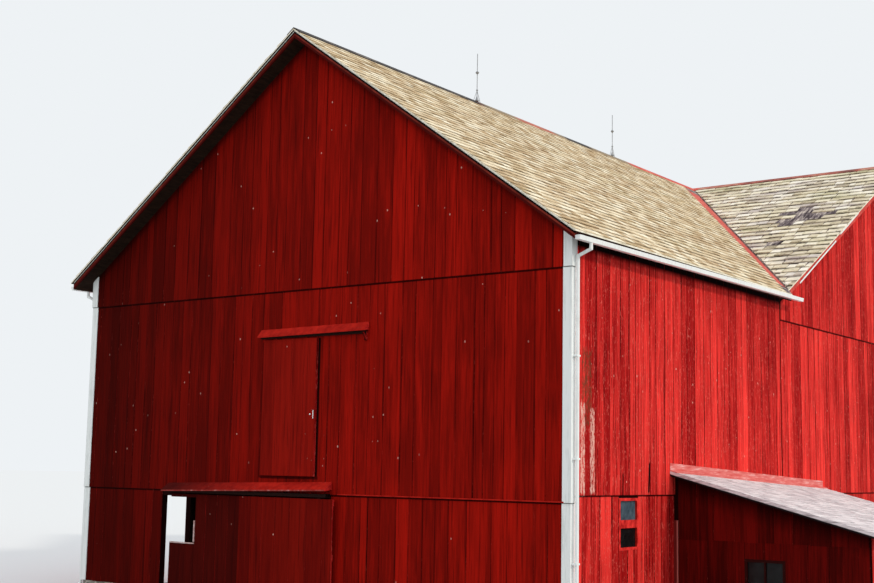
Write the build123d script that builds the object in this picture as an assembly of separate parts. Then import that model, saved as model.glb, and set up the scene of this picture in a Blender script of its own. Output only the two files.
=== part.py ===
from build123d import *
import math
import os

os.makedirs("parts", exist_ok=True)

# A two-storey timber barn. Sizes are in millimetres.
# X runs to the right along the front gable, Y runs back along the barn, Z is up.
# The origin is the middle of the rectangular footprint, at ground level.

# Footprint and heights
barn_width = 12200
barn_length = 25900
cross_length = 17000
cross_eave_height = 6750
main_eave_above_cross = 230
roof_rise = 4600

# Walls: three bands of upright boards, each lapping over the one below
wall_thickness = 140
board_lap = 15
front_joint_height = 2280
side_joint_height = 2400
gable_joint_below_eave = 550

# Foundation and floors
foundation_height = 300
foundation_width = 280
foundation_setback = 20
ground_floor_thickness = 100
mow_floor_height = 2600
mow_floor_depth = 200
mow_board = 40
joist_width = 60
joist_count = 41
girder_depth = 250
girder_width = 200
girder_spacing = 4060
post_size = 200
post_pitch = 4270
post_count = 5

# Roof
rafter_depth = 150
shingle_depth = 30
shingle_drip = 40
eave_overhang = 300
front_overhang = 370
gable_overhang = 90
ridge_board_width = 170
ridge_board_thickness = 26
valley_width_top = 420
valley_width_foot = 220
valley_thickness = 5
rake_board_depth = 150
rake_board_thickness = 28
apex_mitre = 1

# Corner boards
corner_board_front = 170
corner_board_side = 120
corner_board_thickness = 25

# Gutters and downspouts
gutter_width = 100
gutter_height = 75
gutter_sheet = 4
gutter_fall_below_shingles = 8
gutter_front_reach = 10
gutter_rear_end = 9400
gutter_fall = 50
pipe_diameter = 60
pipe_wall_gap = 55
pipe_from_front = 60
rear_pipe_from_rake = 245
pipe_elbow_drop = 200
pipe_foot_height = 220
pipe_foot_reach = 160

# Lightning rods on the main ridge
rod_height = 1150
rod_diameter = 18
rod_ball_diameter = 90
rod_ball_height = 690
rod_brace_height = 260
rod_brace_spread = 130
rod_brace_diameter = 12
first_rod_from_front = 5900
second_rod_from_front = 12400

# Lower doorway in the front gable, with two leaves that pass each other
lower_door_left = -3660
lower_door_right = 950
lower_door_head = 2160
leaf_width = 2400
leaf_top = 2200
leaf_bottom = 60
leaf_board = 25
leaf_ledge = 22
leaf_ledge_width = 120
right_leaf_left_edge = -1290
left_leaf_left_edge = -3310
hatch_width = 730
hatch_sill = 1240
hatch_head = 2140
first_track_offset = 52
track_spacing = 76

# Box tracks, their brackets and the trolleys that run in them
track_width = 60
track_height = 62
track_sheet = 5
track_slot = 22
track_left = -3440
track_right = 940
track_above_leaf = 28
bracket_width = 60
bracket_thickness = 8
bracket_count = 5
wheel_diameter = 44
wheel_width = 14
wheel_seat = 0.3
axle_diameter = 12
hanger_plate = 8
hanger_length = 110
hanger_foot_width = 40
hanger_inset = 350

# Hoods over the tracks; both have sagged at their left end
hood_board = 20
hood_rise = 150
hood_lip = 25
hood_end_clearance = 10
lower_hood_reach = 215
lower_hood_bottom = 2350
lower_hood_sag = 100
upper_hood_left = -970
upper_hood_right = 1770
upper_hood_reach = 130
upper_hood_bottom = 5320
upper_hood_sag = 30

# Upper door in the front gable
upper_door_left = -860
upper_door_right = 530
upper_door_bottom = 2610
upper_door_top = 5240
door_cover = 90
upper_hanger_inset = 300
upper_door_sill = 2670

# Side doorway, open, in the left wall
side_door_front = 1750
side_door_rear = 2950
side_door_head = 2180

# Side window in the right wall
side_window_front = 1630
side_window_width = 700
side_window_bottom = 1450
side_window_height = 900
window_frame_face = 50
window_frame_depth = 80
side_window_rail = 140
shed_window_bar = 30
pane_thickness = 6

# Lean-to shed on the right wall
shed_front = 3750
shed_length = 7350
shed_depth = 3670
shed_wall_thickness = 110
shed_roof_at_wall = 2830
shed_roof_slope = 0.26
shed_settlement = 290
shed_roof_depth = 90
shed_end_overhang = 200
shed_eave_overhang = 260
shed_flashing_height = 150
shed_flashing_width = 150
shed_flashing_sheet = 20
shed_window_left = 1390
shed_window_width = 760
shed_window_bottom = 540
shed_window_height = 760
shed_post_width = 90
shed_post_thickness = 30
shed_post_height = 1930

# Values worked out from the sizes above
main_eave_height = cross_eave_height + main_eave_above_cross
ridge_height = cross_eave_height + roof_rise
gable_joint_height = cross_eave_height - gable_joint_below_eave
half_width = barn_width / 2
front = -barn_length / 2
rear = barn_length / 2
seam = rear - cross_length
cross_ridge = rear - cross_length / 2
main_slope = (ridge_height - main_eave_height) / half_width
cross_slope = (ridge_height - cross_eave_height) / (cross_length / 2)
roof_depth = rafter_depth + shingle_depth
main_eave = half_width + eave_overhang
cross_rake = half_width + gable_overhang
rear_eave = rear + eave_overhang
front_rake = front - front_overhang
inner_half = half_width - wall_thickness
gable_lap = 2 * board_lap
mow_floor_underside = mow_floor_height - mow_floor_depth
shed_rear = shed_front + shed_length


def save(node, shape):
    export_step(shape, f"parts/{node}.step")


def block(x0, x1, y0, y1, z0, z1):
    """A box between two corners."""
    middle = ((x0 + x1) / 2, (y0 + y1) / 2, (z0 + z1) / 2)
    return Pos(*middle) * Box(abs(x1 - x0), abs(y1 - y0), abs(z1 - z0))


def group(solids):
    """Separate solids of one node."""
    return Compound(children=list(solids))


def mirrored(shape):
    """The same piece on the left side of the barn."""
    return mirror(shape, about=Plane.YZ)


def plumb_slab(points, depth):
    """A flat sloping slab, given by the corners of its top face and its depth measured plumb."""
    top = make_face(Polyline(*points, close=True))
    return extrude(top, amount=depth, dir=(0, 0, -1))


def along_y(profile, y0, y1):
    """A profile of (x, z) points run from y0 to y1."""
    face = make_face(Polyline(*[(x, y0, z) for x, z in profile], close=True))
    return extrude(face, amount=y1 - y0, dir=(0, 1, 0))


def along_x(profile, x0, x1):
    """A profile of (y, z) points run from x0 to x1."""
    face = make_face(Polyline(*[(x0, y, z) for y, z in profile], close=True))
    return extrude(face, amount=x1 - x0, dir=(1, 0, 0))


def main_top(x):
    """Height of the main roof's top plane at x."""
    return ridge_height - main_slope * abs(x)


def cross_top(y):
    """Height of the cross roof's top plane at y."""
    return ridge_height - cross_slope * abs(y - cross_ridge)


def valley(x):
    """Where the two roofs meet, for a distance x from the main ridge."""
    return cross_ridge - main_slope / cross_slope * abs(x)


def attic():
    """The room under both roofs, which trims the walls to the rafters' underside."""
    reach = half_width + gable_lap + corner_board_thickness
    under = main_top(reach) - roof_depth
    profile = [(-reach, 0), (reach, 0), (reach, under), (0, ridge_height - roof_depth), (-reach, under)]
    main = along_y(profile, front_rake, cross_ridge)
    back = rear + gable_lap
    profile = [
        (seam, 0),
        (back, 0),
        (back, cross_top(back) - roof_depth),
        (cross_ridge, ridge_height - roof_depth),
        (seam, cross_top(seam) - roof_depth),
    ]
    return main + along_x(profile, -reach, reach)


# Foundation: a low wall under the boards, broken at the two doorways
outer = half_width - foundation_setback
inner = outer - foundation_width
front_outer = front + foundation_setback
front_inner = front_outer + foundation_width
rear_outer = rear - foundation_setback
rear_inner = rear_outer - foundation_width
side_door = (front + side_door_front, front + side_door_rear)


def end_foundations():
    left = block(-outer, lower_door_left, front_outer, front_inner, 0, foundation_height)
    right = block(lower_door_right, outer, front_outer, front_inner, 0, foundation_height)
    back = block(-outer, outer, rear_inner, rear_outer, 0, foundation_height)
    return group([left, right, back])


def side_foundations():
    right = block(inner, outer, front_inner, rear_inner, 0, foundation_height)
    left_front = block(-outer, -inner, front_inner, side_door[0], 0, foundation_height)
    left_rear = block(-outer, -inner, side_door[1], rear_inner, 0, foundation_height)
    return group([right, left_front, left_rear])


def ground_floor():
    """A floor slab inside the foundation, carried out to form both thresholds."""
    slab = block(-inner, inner, front_inner, rear_inner, 0, ground_floor_thickness)
    slab += block(lower_door_left, lower_door_right, front_outer, front_inner, 0, ground_floor_thickness)
    slab += block(-outer, -inner, side_door[0], side_door[1], 0, ground_floor_thickness)
    return slab


# Walls
def front_slab(x0, x1, z0, z1, lap):
    return block(x0, x1, front - lap, front + wall_thickness, z0, z1)


def side_slab(y0, y1, z0, z1, lap):
    """A stretch of the right wall."""
    return block(inner_half, half_width + lap, y0, y1, z0, z1)


def front_wall_lower():
    """Both sides of the lower doorway, and the short piece under the upper one."""
    left = front_slab(-half_width, lower_door_left, foundation_height, front_joint_height, 0)
    right = front_slab(lower_door_right, half_width, foundation_height, front_joint_height, 0)
    sill = front_slab(upper_opening[0], upper_opening[1], front_joint_height, upper_door_sill, board_lap)
    return group([left, right, sill])


upper_opening = (upper_door_left + door_cover, upper_door_right - door_cover)
upper_opening_head = upper_door_top - door_cover


def front_wall_upper():
    left = front_slab(-half_width, upper_opening[0], front_joint_height, gable_joint_height, board_lap)
    right = front_slab(upper_opening[1], half_width, front_joint_height, gable_joint_height, board_lap)
    return group([left, right])


def door_lintels():
    lower = front_slab(lower_door_left, lower_door_right, lower_door_head, front_joint_height, 0)
    upper = front_slab(
        upper_opening[0], upper_opening[1], upper_opening_head, gable_joint_height, board_lap
    )
    side = mirrored(side_slab(side_door[0], side_door[1], side_door_head, side_joint_height, 0))
    return group([lower, upper, side])


def front_gable(room):
    return front_slab(-half_width, half_width, gable_joint_height, ridge_height, gable_lap) & room


def side_window_hole():
    y0 = front + side_window_front
    z0 = side_window_bottom
    return block(
        inner_half - 1, half_width + board_lap + 1,
        y0, y0 + side_window_width, z0, z0 + side_window_height,
    )


def right_wall(room):
    """The right wall of the front block, with its window cut through."""
    start = front + wall_thickness
    lower = side_slab(start, seam, foundation_height, side_joint_height, 0)
    upper = side_slab(start, seam, side_joint_height, main_eave_height, board_lap)
    return (lower + upper) & room


def left_wall_lower():
    start = front + wall_thickness
    before = side_slab(start, side_door[0], foundation_height, side_joint_height, 0)
    after = side_slab(side_door[1], seam, foundation_height, side_joint_height, 0)
    return group([mirrored(before), mirrored(after)])


def left_wall_upper(room):
    start = front + wall_thickness
    return mirrored(side_slab(start, seam, side_joint_height, main_eave_height, board_lap)) & room


def cross_wall():
    """The wall under the right cross gable, up to the joint in its boards."""
    end = rear
    lower = side_slab(seam, end, foundation_height, side_joint_height, 0)
    return lower + side_slab(seam, end, side_joint_height, gable_joint_height, board_lap)


def cross_gable(room):
    return side_slab(seam, rear, gable_joint_height, ridge_height, gable_lap) & room


def rear_wall(room):
    """The rear eaves wall, between the two cross walls."""
    lower = block(-inner_half, inner_half, rear - wall_thickness, rear, foundation_height, side_joint_height)
    upper = block(
        -inner_half, inner_half, rear - wall_thickness, rear + board_lap, side_joint_height, ridge_height
    )
    return (lower + upper) & room


# Floor frame
def post_places():
    start = -post_pitch * (post_count - 1) / 2
    for row in (-1, 1):
        for i in range(post_count):
            yield row * girder_spacing / 2, start + i * post_pitch


def posts():
    top = mow_floor_underside - girder_depth
    solids = []
    for x, y in post_places():
        half = post_size / 2
        solids.append(block(x - half, x + half, y - half, y + half, ground_floor_thickness, top))
    return group(solids)


def floor_girders():
    y0 = front + wall_thickness
    y1 = rear - wall_thickness
    solids = []
    for row in (-1, 1):
        x = row * girder_spacing / 2
        half = girder_width / 2
        solids.append(
            block(x - half, x + half, y0, y1, mow_floor_underside - girder_depth, mow_floor_underside)
        )
    return group(solids)


def mow_floor():
    """Floor boards on joists that run across the barn, over the girders."""
    y0 = front + wall_thickness
    y1 = rear - wall_thickness
    boards_underside = mow_floor_height - mow_board
    floor = block(-inner_half, inner_half, y0, y1, boards_underside, mow_floor_height)
    step = (y1 - y0 - joist_width) / (joist_count - 1)
    joists = []
    for i in range(joist_count):
        y = y0 + i * step
        joists.append(block(-inner_half, inner_half, y, y + joist_width, mow_floor_underside, boards_underside))
    return floor + joists


# Roof
def main_roof():
    """The right slope of the main roof: rafters, and shingles that run past them."""
    def corners(edge_x, edge_y, drop):
        return [
            (0, edge_y, main_top(0) - drop),
            (edge_x, edge_y, main_top(edge_x) - drop),
            (edge_x, valley(edge_x), main_top(edge_x) - drop),
            (0, cross_ridge, main_top(0) - drop),
        ]
    shingle_front = front_rake - rake_board_thickness - shingle_drip
    shingles = plumb_slab(corners(main_eave + shingle_drip, shingle_front, 0), shingle_depth)
    rafters = plumb_slab(corners(main_eave, front_rake, shingle_depth), rafter_depth)
    return shingles + rafters


def cross_roof_front():
    """The three-cornered slope between the right valley and the right cross gable."""
    def corners(edge, drop):
        low = valley(edge)
        return [
            (0, cross_ridge, ridge_height - drop),
            (edge, cross_ridge, ridge_height - drop),
            (edge, low, cross_top(low) - drop),
        ]
    shingles = plumb_slab(corners(cross_rake + shingle_drip + rake_board_thickness, 0), shingle_depth)
    rafters = plumb_slab(corners(cross_rake, shingle_depth), rafter_depth)
    return shingles + rafters


def cross_roof_rear():
    def corners(edge_x, edge_y, drop):
        low = cross_top(edge_y) - drop
        high = ridge_height - drop
        return [
            (-edge_x, cross_ridge, high),
            (edge_x, cross_ridge, high),
            (edge_x, edge_y, low),
            (-edge_x, edge_y, low),
        ]
    shingles = plumb_slab(
        corners(cross_rake + shingle_drip + rake_board_thickness, rear_eave + shingle_drip, 0), shingle_depth
    )
    rafters = plumb_slab(corners(cross_rake, rear_eave, shingle_depth), rafter_depth)
    return shingles + rafters


def ridge_profile(slope, centre):
    """Two boards nailed together over a ridge."""
    w = ridge_board_width
    t = ridge_board_thickness
    drop = slope * w
    top = ridge_height
    return [
        (centre - w, top - drop),
        (centre, top),
        (centre + w, top - drop),
        (centre + w, top - drop + t),
        (centre, top + t),
        (centre - w, top - drop + t),
    ]


def cross_ridge_cap(main_slope_solid):
    """Boards over the cross ridge, notched where the main roof runs into them."""
    reach = cross_rake + shingle_drip + rake_board_thickness
    cap = along_x(ridge_profile(cross_slope, cross_ridge), -reach, reach)
    return cap - main_slope_solid - mirrored(main_slope_solid)


def main_ridge_cap(cross_cap, cross_slopes):
    cap = along_y(ridge_profile(main_slope, 0), front_rake - shingle_drip - rake_board_thickness, cross_ridge)
    cap -= cross_cap
    for slope in cross_slopes:
        cap -= slope
    return max(cap.solids(), key=lambda s: s.volume)


def valley_flashing():
    """A strip of sheet beside the right valley, on the main slope, narrowing towards the eave."""
    start = ridge_board_width + valley_width_top
    end = cross_rake
    run = math.hypot(end - start, valley(end) - valley(start))
    along = ((end - start) / run, (valley(end) - valley(start)) / run)
    across = (along[1], -along[0])
    points = []
    for x, width in ((start, 0), (end, 0), (end, valley_width_foot), (start, valley_width_top)):
        px = x + across[0] * width
        py = valley(x) + across[1] * width
        points.append((px, py, main_top(px) + valley_thickness))
    return plumb_slab(points, valley_thickness)


def front_rake_board():
    """The board on the ends of the right slope's rafters."""
    low = main_top(main_eave) - shingle_depth
    high = main_top(apex_mitre) - shingle_depth
    profile = [
        (apex_mitre, high),
        (main_eave, low),
        (main_eave, low - rake_board_depth),
        (apex_mitre, high - rake_board_depth),
    ]
    return along_y(profile, front_rake - rake_board_thickness, front_rake)


def side_rake_board(direction):
    """A board on the right gable's edge; direction is -1 for its front half and 1 for its rear half."""
    near = cross_ridge + direction * apex_mitre
    far = rear_eave if direction > 0 else valley(cross_rake + rake_board_thickness) + rake_board_depth
    high = cross_top(near) - shingle_depth
    low = cross_top(far) - shingle_depth
    profile = [(near, high), (far, low), (far, low - rake_board_depth), (near, high - rake_board_depth)]
    return along_x(profile, cross_rake, cross_rake + rake_board_thickness)


def rake_boards():
    right = [front_rake_board(), side_rake_board(-1), side_rake_board(1)]
    return group(right + [mirrored(board) for board in right])


# Corner boards
def corner_board(room):
    """The right front corner: an angle of two boards, stepping out with each band of the wall."""
    t = corner_board_thickness
    heights = [foundation_height, front_joint_height, gable_joint_height, ridge_height]
    angle = None
    for band in range(3):
        z0, z1 = heights[band], heights[band + 1]
        x = half_width + band * board_lap
        y = front - band * board_lap
        piece = block(x + t - corner_board_front, x + t, y - t, y, z0, z1)
        piece += block(x, x + t, y, y - t + corner_board_side, z0, z1)
        angle = piece if angle is None else angle + piece
    return angle & room


def shed_corner_post():
    """An upright board that covers the joint between the shed's front and the barn wall."""
    y = front + shed_front
    return block(
        half_width, half_width + shed_post_width,
        y - shed_post_thickness, y, 0, shed_post_height,
    )


def corner_boards(room):
    right = corner_board(room)
    return group([right, mirrored(right), shed_corner_post()])


# Gutters and downspouts
def gutter_profile(back, top):
    """An open trough hung against a plumb face; back is that face, and the trough opens upwards."""
    w, h, s = gutter_width, gutter_height, gutter_sheet
    lip = 0.85
    return [
        (back, top),
        (back, top - h),
        (back + w * lip, top - h),
        (back + w, top),
        (back + w - s, top),
        (back + w * lip - s, top - h + s),
        (back + s, top - h + s),
        (back + s, top),
    ]


def gutter_closed(profile, run, start, end, ends):
    """A trough with a flat plate at each end."""
    trough = run(profile, start, end)
    plate = [profile[i] for i in (0, 1, 2, 3)]
    for at in ends:
        trough += run(plate, at, at + gutter_sheet)
    return trough


gutter_start = front_rake - gutter_front_reach
gutter_end = front + gutter_rear_end
eave_gutter_top = main_top(main_eave + shingle_drip) - shingle_depth - gutter_fall_below_shingles
rear_gutter_top = cross_top(rear_eave + shingle_drip) - shingle_depth - gutter_fall_below_shingles


def right_gutter():
    """The eaves gutter, which falls towards its downspout at the front."""
    profile = gutter_profile(main_eave, eave_gutter_top)
    start, end = gutter_start, gutter_end
    trough = gutter_closed(profile, along_y, start, end, (start, end - gutter_sheet))
    turn = math.degrees(math.atan(gutter_fall / (end - start)))
    return trough.rotate(Axis((0, end, eave_gutter_top), (1, 0, 0)), turn)


def rear_gutter():
    profile = gutter_profile(rear_eave, rear_gutter_top)
    return gutter_closed(profile, along_x, -cross_rake, cross_rake, (-cross_rake, cross_rake - gutter_sheet))


def gutters():
    right = right_gutter()
    return group([right, mirrored(right), rear_gutter()])


def pipe(path_points):
    """Straight lengths of round pipe, mitred where they turn."""
    section = Plane(origin=path_points[0], z_dir=(0, 0, -1)) * Circle(pipe_diameter / 2)
    return sweep(section, path=Polyline(*path_points), transition=Transition.RIGHT)


def right_downspout():
    y = front + pipe_from_front
    out = main_eave + gutter_width / 2
    near = half_width + board_lap + pipe_wall_gap + pipe_diameter / 2
    drop = gutter_fall * (gutter_end - y + pipe_diameter / 2) / (gutter_end - gutter_start)
    top = eave_gutter_top - gutter_height - drop
    low = pipe_foot_height
    return pipe([
        (out, y, top),
        (out, y, top - pipe_elbow_drop / 2),
        (near, y, top - pipe_elbow_drop),
        (near, y, low),
        (near + pipe_foot_reach, y, low - pipe_foot_reach / 2),
    ])


def rear_downspout():
    x = cross_rake - rear_pipe_from_rake
    out = rear_eave + gutter_width / 2
    near = rear + board_lap + pipe_wall_gap + pipe_diameter / 2
    top = rear_gutter_top - gutter_height
    low = pipe_foot_height
    return pipe([
        (x, out, top),
        (x, out, top - pipe_elbow_drop / 2),
        (x, near, top - pipe_elbow_drop),
        (x, near, low),
        (x, near + pipe_foot_reach, low - pipe_foot_reach / 2),
    ])


def downspouts():
    right, back = right_downspout(), rear_downspout()
    return group([right, mirrored(right), back, mirrored(back)])


# Lightning rods
def lightning_rod(y):
    foot = ridge_height + ridge_board_thickness
    rod = Pos(0, y, foot + rod_height / 2) * Cylinder(rod_diameter / 2, rod_height)
    half = rod_ball_diameter / 2
    rod += Pos(0, y, foot + rod_ball_height - half / 2) * Cone(rod_diameter / 2, half, half)
    rod += Pos(0, y, foot + rod_ball_height + half / 2) * Cone(half, rod_diameter / 2, half)
    for x, dy in ((0, -rod_brace_spread), (0, rod_brace_spread)):
        start = Vector(x, y + dy, foot)
        end = Vector(0, y, foot + rod_brace_height)
        leg = Plane(origin=start, z_dir=end - start) * Circle(rod_brace_diameter / 2)
        rod += extrude(leg, amount=(end - start).length)
    return rod - block(-100, 100, y - 300, y + 300, foot - 100, foot)


def lightning_rods():
    return group([lightning_rod(front + first_rod_from_front), lightning_rod(front + second_rod_from_front)])


# Door tracks, trolleys and leaves
def track_centre(number):
    """Distance of a lower track in front of the wall's lower boards."""
    return front - first_track_offset - number * track_spacing


def track(y, x0, x1, bottom):
    """A box track with a slot along its underside."""
    half = track_width / 2
    profile = [
        (y - half, bottom),
        (y - track_slot / 2, bottom),
        (y - track_slot / 2, bottom + track_sheet),
        (y - half + track_sheet, bottom + track_sheet),
        (y - half + track_sheet, bottom + track_height - track_sheet),
        (y + half - track_sheet, bottom + track_height - track_sheet),
        (y + half - track_sheet, bottom + track_sheet),
        (y + track_slot / 2, bottom + track_sheet),
        (y + track_slot / 2, bottom),
        (y + half, bottom),
        (y + half, bottom + track_height),
        (y - half, bottom + track_height),
    ]
    return along_x(profile, x0, x1)


def lower_tracks():
    """Two tracks side by side, hung from arms that are fixed to the wall."""
    bottom = leaf_top + track_above_leaf
    top = bottom + track_height
    rails = track(track_centre(0), track_left, track_right, bottom)
    rails += track(track_centre(1), track_left, track_right, bottom)
    face = front - board_lap
    reach = track_centre(1) - track_width / 2
    step = (track_right - track_left - bracket_width) / (bracket_count - 1)
    for i in range(bracket_count):
        x = track_left + i * step
        rails += block(x, x + bracket_width, reach, face, top, top + bracket_thickness)
        rails += block(
            x, x + bracket_width, face - bracket_thickness, face, top, top + bracket_width
        )
    return rails


def upper_track():
    bottom = upper_door_top + track_above_leaf
    face = front - board_lap
    y = face - track_width / 2
    inset = hood_board + hood_end_clearance
    return track(y, upper_hood_left + inset, upper_hood_right - inset, bottom)


def door_rails():
    return group([lower_tracks(), upper_track()])


def trolley(x, y, leaf_height):
    """Two wheels on an axle, and the plate that carries the leaf's top edge."""
    floor = leaf_height + track_above_leaf + track_sheet + wheel_seat
    centre = floor + wheel_diameter / 2
    body = block(
        x - hanger_length / 2, x + hanger_length / 2,
        y - hanger_foot_width / 2, y + hanger_foot_width / 2, leaf_height, leaf_height + hanger_plate,
    )
    body += block(
        x - hanger_foot_width / 2, x + hanger_foot_width / 2,
        y - hanger_plate / 2, y + hanger_plate / 2, leaf_height, centre + axle_diameter,
    )
    axle_length = hanger_plate + 2 * wheel_width + 4
    body += Pos(x, y, centre) * Rot(90, 0, 0) * Cylinder(axle_diameter / 2, axle_length)
    for side in (-1, 1):
        offset = side * (hanger_plate / 2 + 1 + wheel_width / 2)
        body += Pos(x, y + offset, centre) * Rot(90, 0, 0) * Cylinder(wheel_diameter / 2, wheel_width)
    return body


def hangers(left_edge, y, leaf_height, width):
    places = (left_edge + hanger_inset, left_edge + width - hanger_inset)
    return group([trolley(x, y, leaf_height) for x in places])


def leaf(left_edge, y):
    """A ledged door leaf: boards in front, three ledges and a brace behind. y is its middle plane."""
    face = y - (leaf_board + leaf_ledge) / 2
    back = face + leaf_board
    right_edge = left_edge + leaf_width
    boards = block(left_edge, right_edge, face, back, leaf_bottom, leaf_top)
    middle = (leaf_bottom + leaf_top) / 2
    w = leaf_ledge_width
    ledges = (leaf_bottom + w, middle, leaf_top - w / 2)
    for z in ledges:
        boards += block(left_edge, right_edge, back, back + leaf_ledge, z - w / 2, z + w / 2)
    brace = [
        (left_edge, back, ledges[0] + w / 2),
        (left_edge + w, back, ledges[0] + w / 2),
        (right_edge, back, ledges[1] - w / 2),
        (right_edge - w, back, ledges[1] - w / 2),
    ]
    return boards + extrude(make_face(Polyline(*brace, close=True)), amount=leaf_ledge, dir=(0, 1, 0))


def lower_right_door():
    return leaf(right_leaf_left_edge, track_centre(1))


def lower_left_door():
    """This leaf has lost the window that stood in its upper left corner."""
    door = leaf(left_leaf_left_edge, track_centre(0))
    x0 = left_leaf_left_edge
    y = track_centre(0)
    depth = leaf_board + leaf_ledge
    door -= block(x0 - 1, x0 + hatch_width, y - depth, y + depth, hatch_sill, hatch_head)
    return door


def upper_door():
    """The closed upper leaf, with its two trolleys."""
    face = front - board_lap
    thick = leaf_board + leaf_ledge
    door = block(upper_door_left, upper_door_right, face - thick, face, upper_door_bottom, upper_door_top)
    for x in (upper_door_left + upper_hanger_inset, upper_door_right - upper_hanger_inset):
        door += trolley(x, face - track_width / 2, upper_door_top)
    return door


def hood(x0, x1, face, reach, bottom, sag):
    """A sloping board with a narrow lip and a board at each end, turned about its right end by the sag."""
    t = hood_board
    outer_y = face - reach
    lip = bottom + hood_lip
    shell = [
        (face, lip + hood_rise),
        (outer_y, lip),
        (outer_y, bottom),
        (outer_y + t, bottom),
        (outer_y + t, lip + hood_rise * t / reach - t),
        (face, lip + hood_rise - t),
    ]
    cover = along_x(shell, x0, x1)
    end = [(face, lip + hood_rise), (outer_y, lip), (outer_y, bottom), (face, lip)]
    cover += along_x(end, x0, x0 + t)
    cover += along_x(end, x1 - t, x1)
    turn = math.degrees(math.atan(sag / (x1 - x0)))
    return cover.rotate(Axis((x1, face, bottom), (0, 1, 0)), -turn)


def lower_door_hood():
    past = hood_board + hood_end_clearance
    return hood(
        track_left - past, track_right + past, front - board_lap,
        lower_hood_reach, lower_hood_bottom, lower_hood_sag,
    )


def upper_door_hood():
    return hood(
        upper_hood_left, upper_hood_right, front - board_lap,
        upper_hood_reach, upper_hood_bottom, upper_hood_sag,
    )


# Windows
def window_bars(width, height, rail, upright):
    """A frame with one rail across it, or one upright bar, and its clear lights."""
    f = window_frame_face
    frame = Rectangle(width, height) - Rectangle(width - 2 * f, height - 2 * f)
    frame += Rectangle(rail, height - 2 * f) if upright else Rectangle(width - 2 * f, rail)
    clear = Rectangle(width - 2 * f, height - 2 * f)
    clear -= Rectangle(rail, height) if upright else Rectangle(width, rail)
    return frame, clear


def framed(sketch, plane, depth):
    return extrude(plane * sketch, amount=depth / 2, both=True)


side_window_plane = Plane(
    origin=(
        half_width - window_frame_depth / 2 + board_lap,
        front + side_window_front + side_window_width / 2,
        side_window_bottom + side_window_height / 2,
    ),
    x_dir=(0, 1, 0),
    z_dir=(1, 0, 0),
)
shed_window_plane = Plane(
    origin=(
        half_width + shed_window_left + shed_window_width / 2,
        front + shed_front + window_frame_depth / 2 - board_lap,
        shed_window_bottom + shed_window_height / 2,
    ),
    x_dir=(1, 0, 0),
    z_dir=(0, -1, 0),
)


def window_frames():
    side, _ = window_bars(side_window_width, side_window_height, side_window_rail, upright=False)
    shed, _ = window_bars(shed_window_width, shed_window_height, shed_window_bar, upright=True)
    return group([
        framed(side, side_window_plane, window_frame_depth),
        framed(shed, shed_window_plane, window_frame_depth),
    ])


def window_panes():
    _, side = window_bars(side_window_width, side_window_height, side_window_rail, upright=False)
    _, shed = window_bars(shed_window_width, shed_window_height, shed_window_bar, upright=True)
    panes = framed(side, side_window_plane, pane_thickness).solids()
    panes += framed(shed, shed_window_plane, pane_thickness).solids()
    return group(panes)


# Shed
def shed_top(x, y):
    """Height of the shed roof's top plane; the shed has settled at its rear end."""
    fall = shed_settlement * (y - front - shed_front) / shed_length
    return shed_roof_at_wall - shed_roof_slope * (x - half_width) - fall


shed_outer = half_width + shed_depth
shed_y = (front + shed_front, front + shed_rear)
shed_roof_x = (half_width + board_lap, shed_outer + shed_eave_overhang)
shed_roof_y = (shed_y[0] - shed_end_overhang, shed_y[1] + shed_end_overhang)


def shed_sheet(x0, x1, y0, y1, lift, depth):
    points = [(x, y, shed_top(x, y) + lift) for x, y in ((x0, y0), (x1, y0), (x1, y1), (x0, y1))]
    return plumb_slab(points, depth)


def shed_roof():
    return shed_sheet(*shed_roof_x, *shed_roof_y, 0, shed_roof_depth)


def shed_room():
    """The space under the shed roof, which trims its walls."""
    return shed_sheet(half_width, shed_outer, *shed_y, -shed_roof_depth, 2 * shed_roof_at_wall) \
        & block(half_width, shed_outer, *shed_y, 0, shed_roof_at_wall)


def shed_window_hole():
    x0 = half_width + shed_window_left
    return block(
        x0, x0 + shed_window_width, shed_y[0] - 1, shed_y[0] + shed_wall_thickness + 1,
        shed_window_bottom, shed_window_bottom + shed_window_height,
    )


def shed_end_walls(barn_walls):
    t = shed_wall_thickness
    near = block(half_width, shed_outer, shed_y[0], shed_y[0] + t, 0, shed_roof_at_wall)
    near = (near & shed_room()) - shed_window_hole()
    far = block(half_width, shed_outer, shed_y[1] - t, shed_y[1], 0, shed_roof_at_wall) & shed_room()
    for wall in barn_walls:
        near -= wall
        far -= wall
    return group(near.solids() + far.solids())


def shed_front_wall():
    t = shed_wall_thickness
    wall = block(shed_outer - t, shed_outer, shed_y[0] + t, shed_y[1] - t, 0, shed_roof_at_wall)
    return wall & shed_room()


def shed_flashing():
    """Sheet bent up the barn wall and out over the top of the shed roof."""
    s = shed_flashing_sheet
    x0, _ = shed_roof_x
    on_roof = shed_sheet(x0, x0 + shed_flashing_width, *shed_roof_y, s, s)
    up_wall = shed_sheet(x0, x0 + s, *shed_roof_y, shed_flashing_height, shed_flashing_height)
    return on_roof + up_wall


# Build every piece
room = attic()
right_wall_solid = right_wall(room)
right_cross_wall_solid = cross_wall()
cross_front = cross_roof_front()
main_right = main_roof()
cross_cap = cross_ridge_cap(main_right)
gable_right = cross_gable(room)

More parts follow.
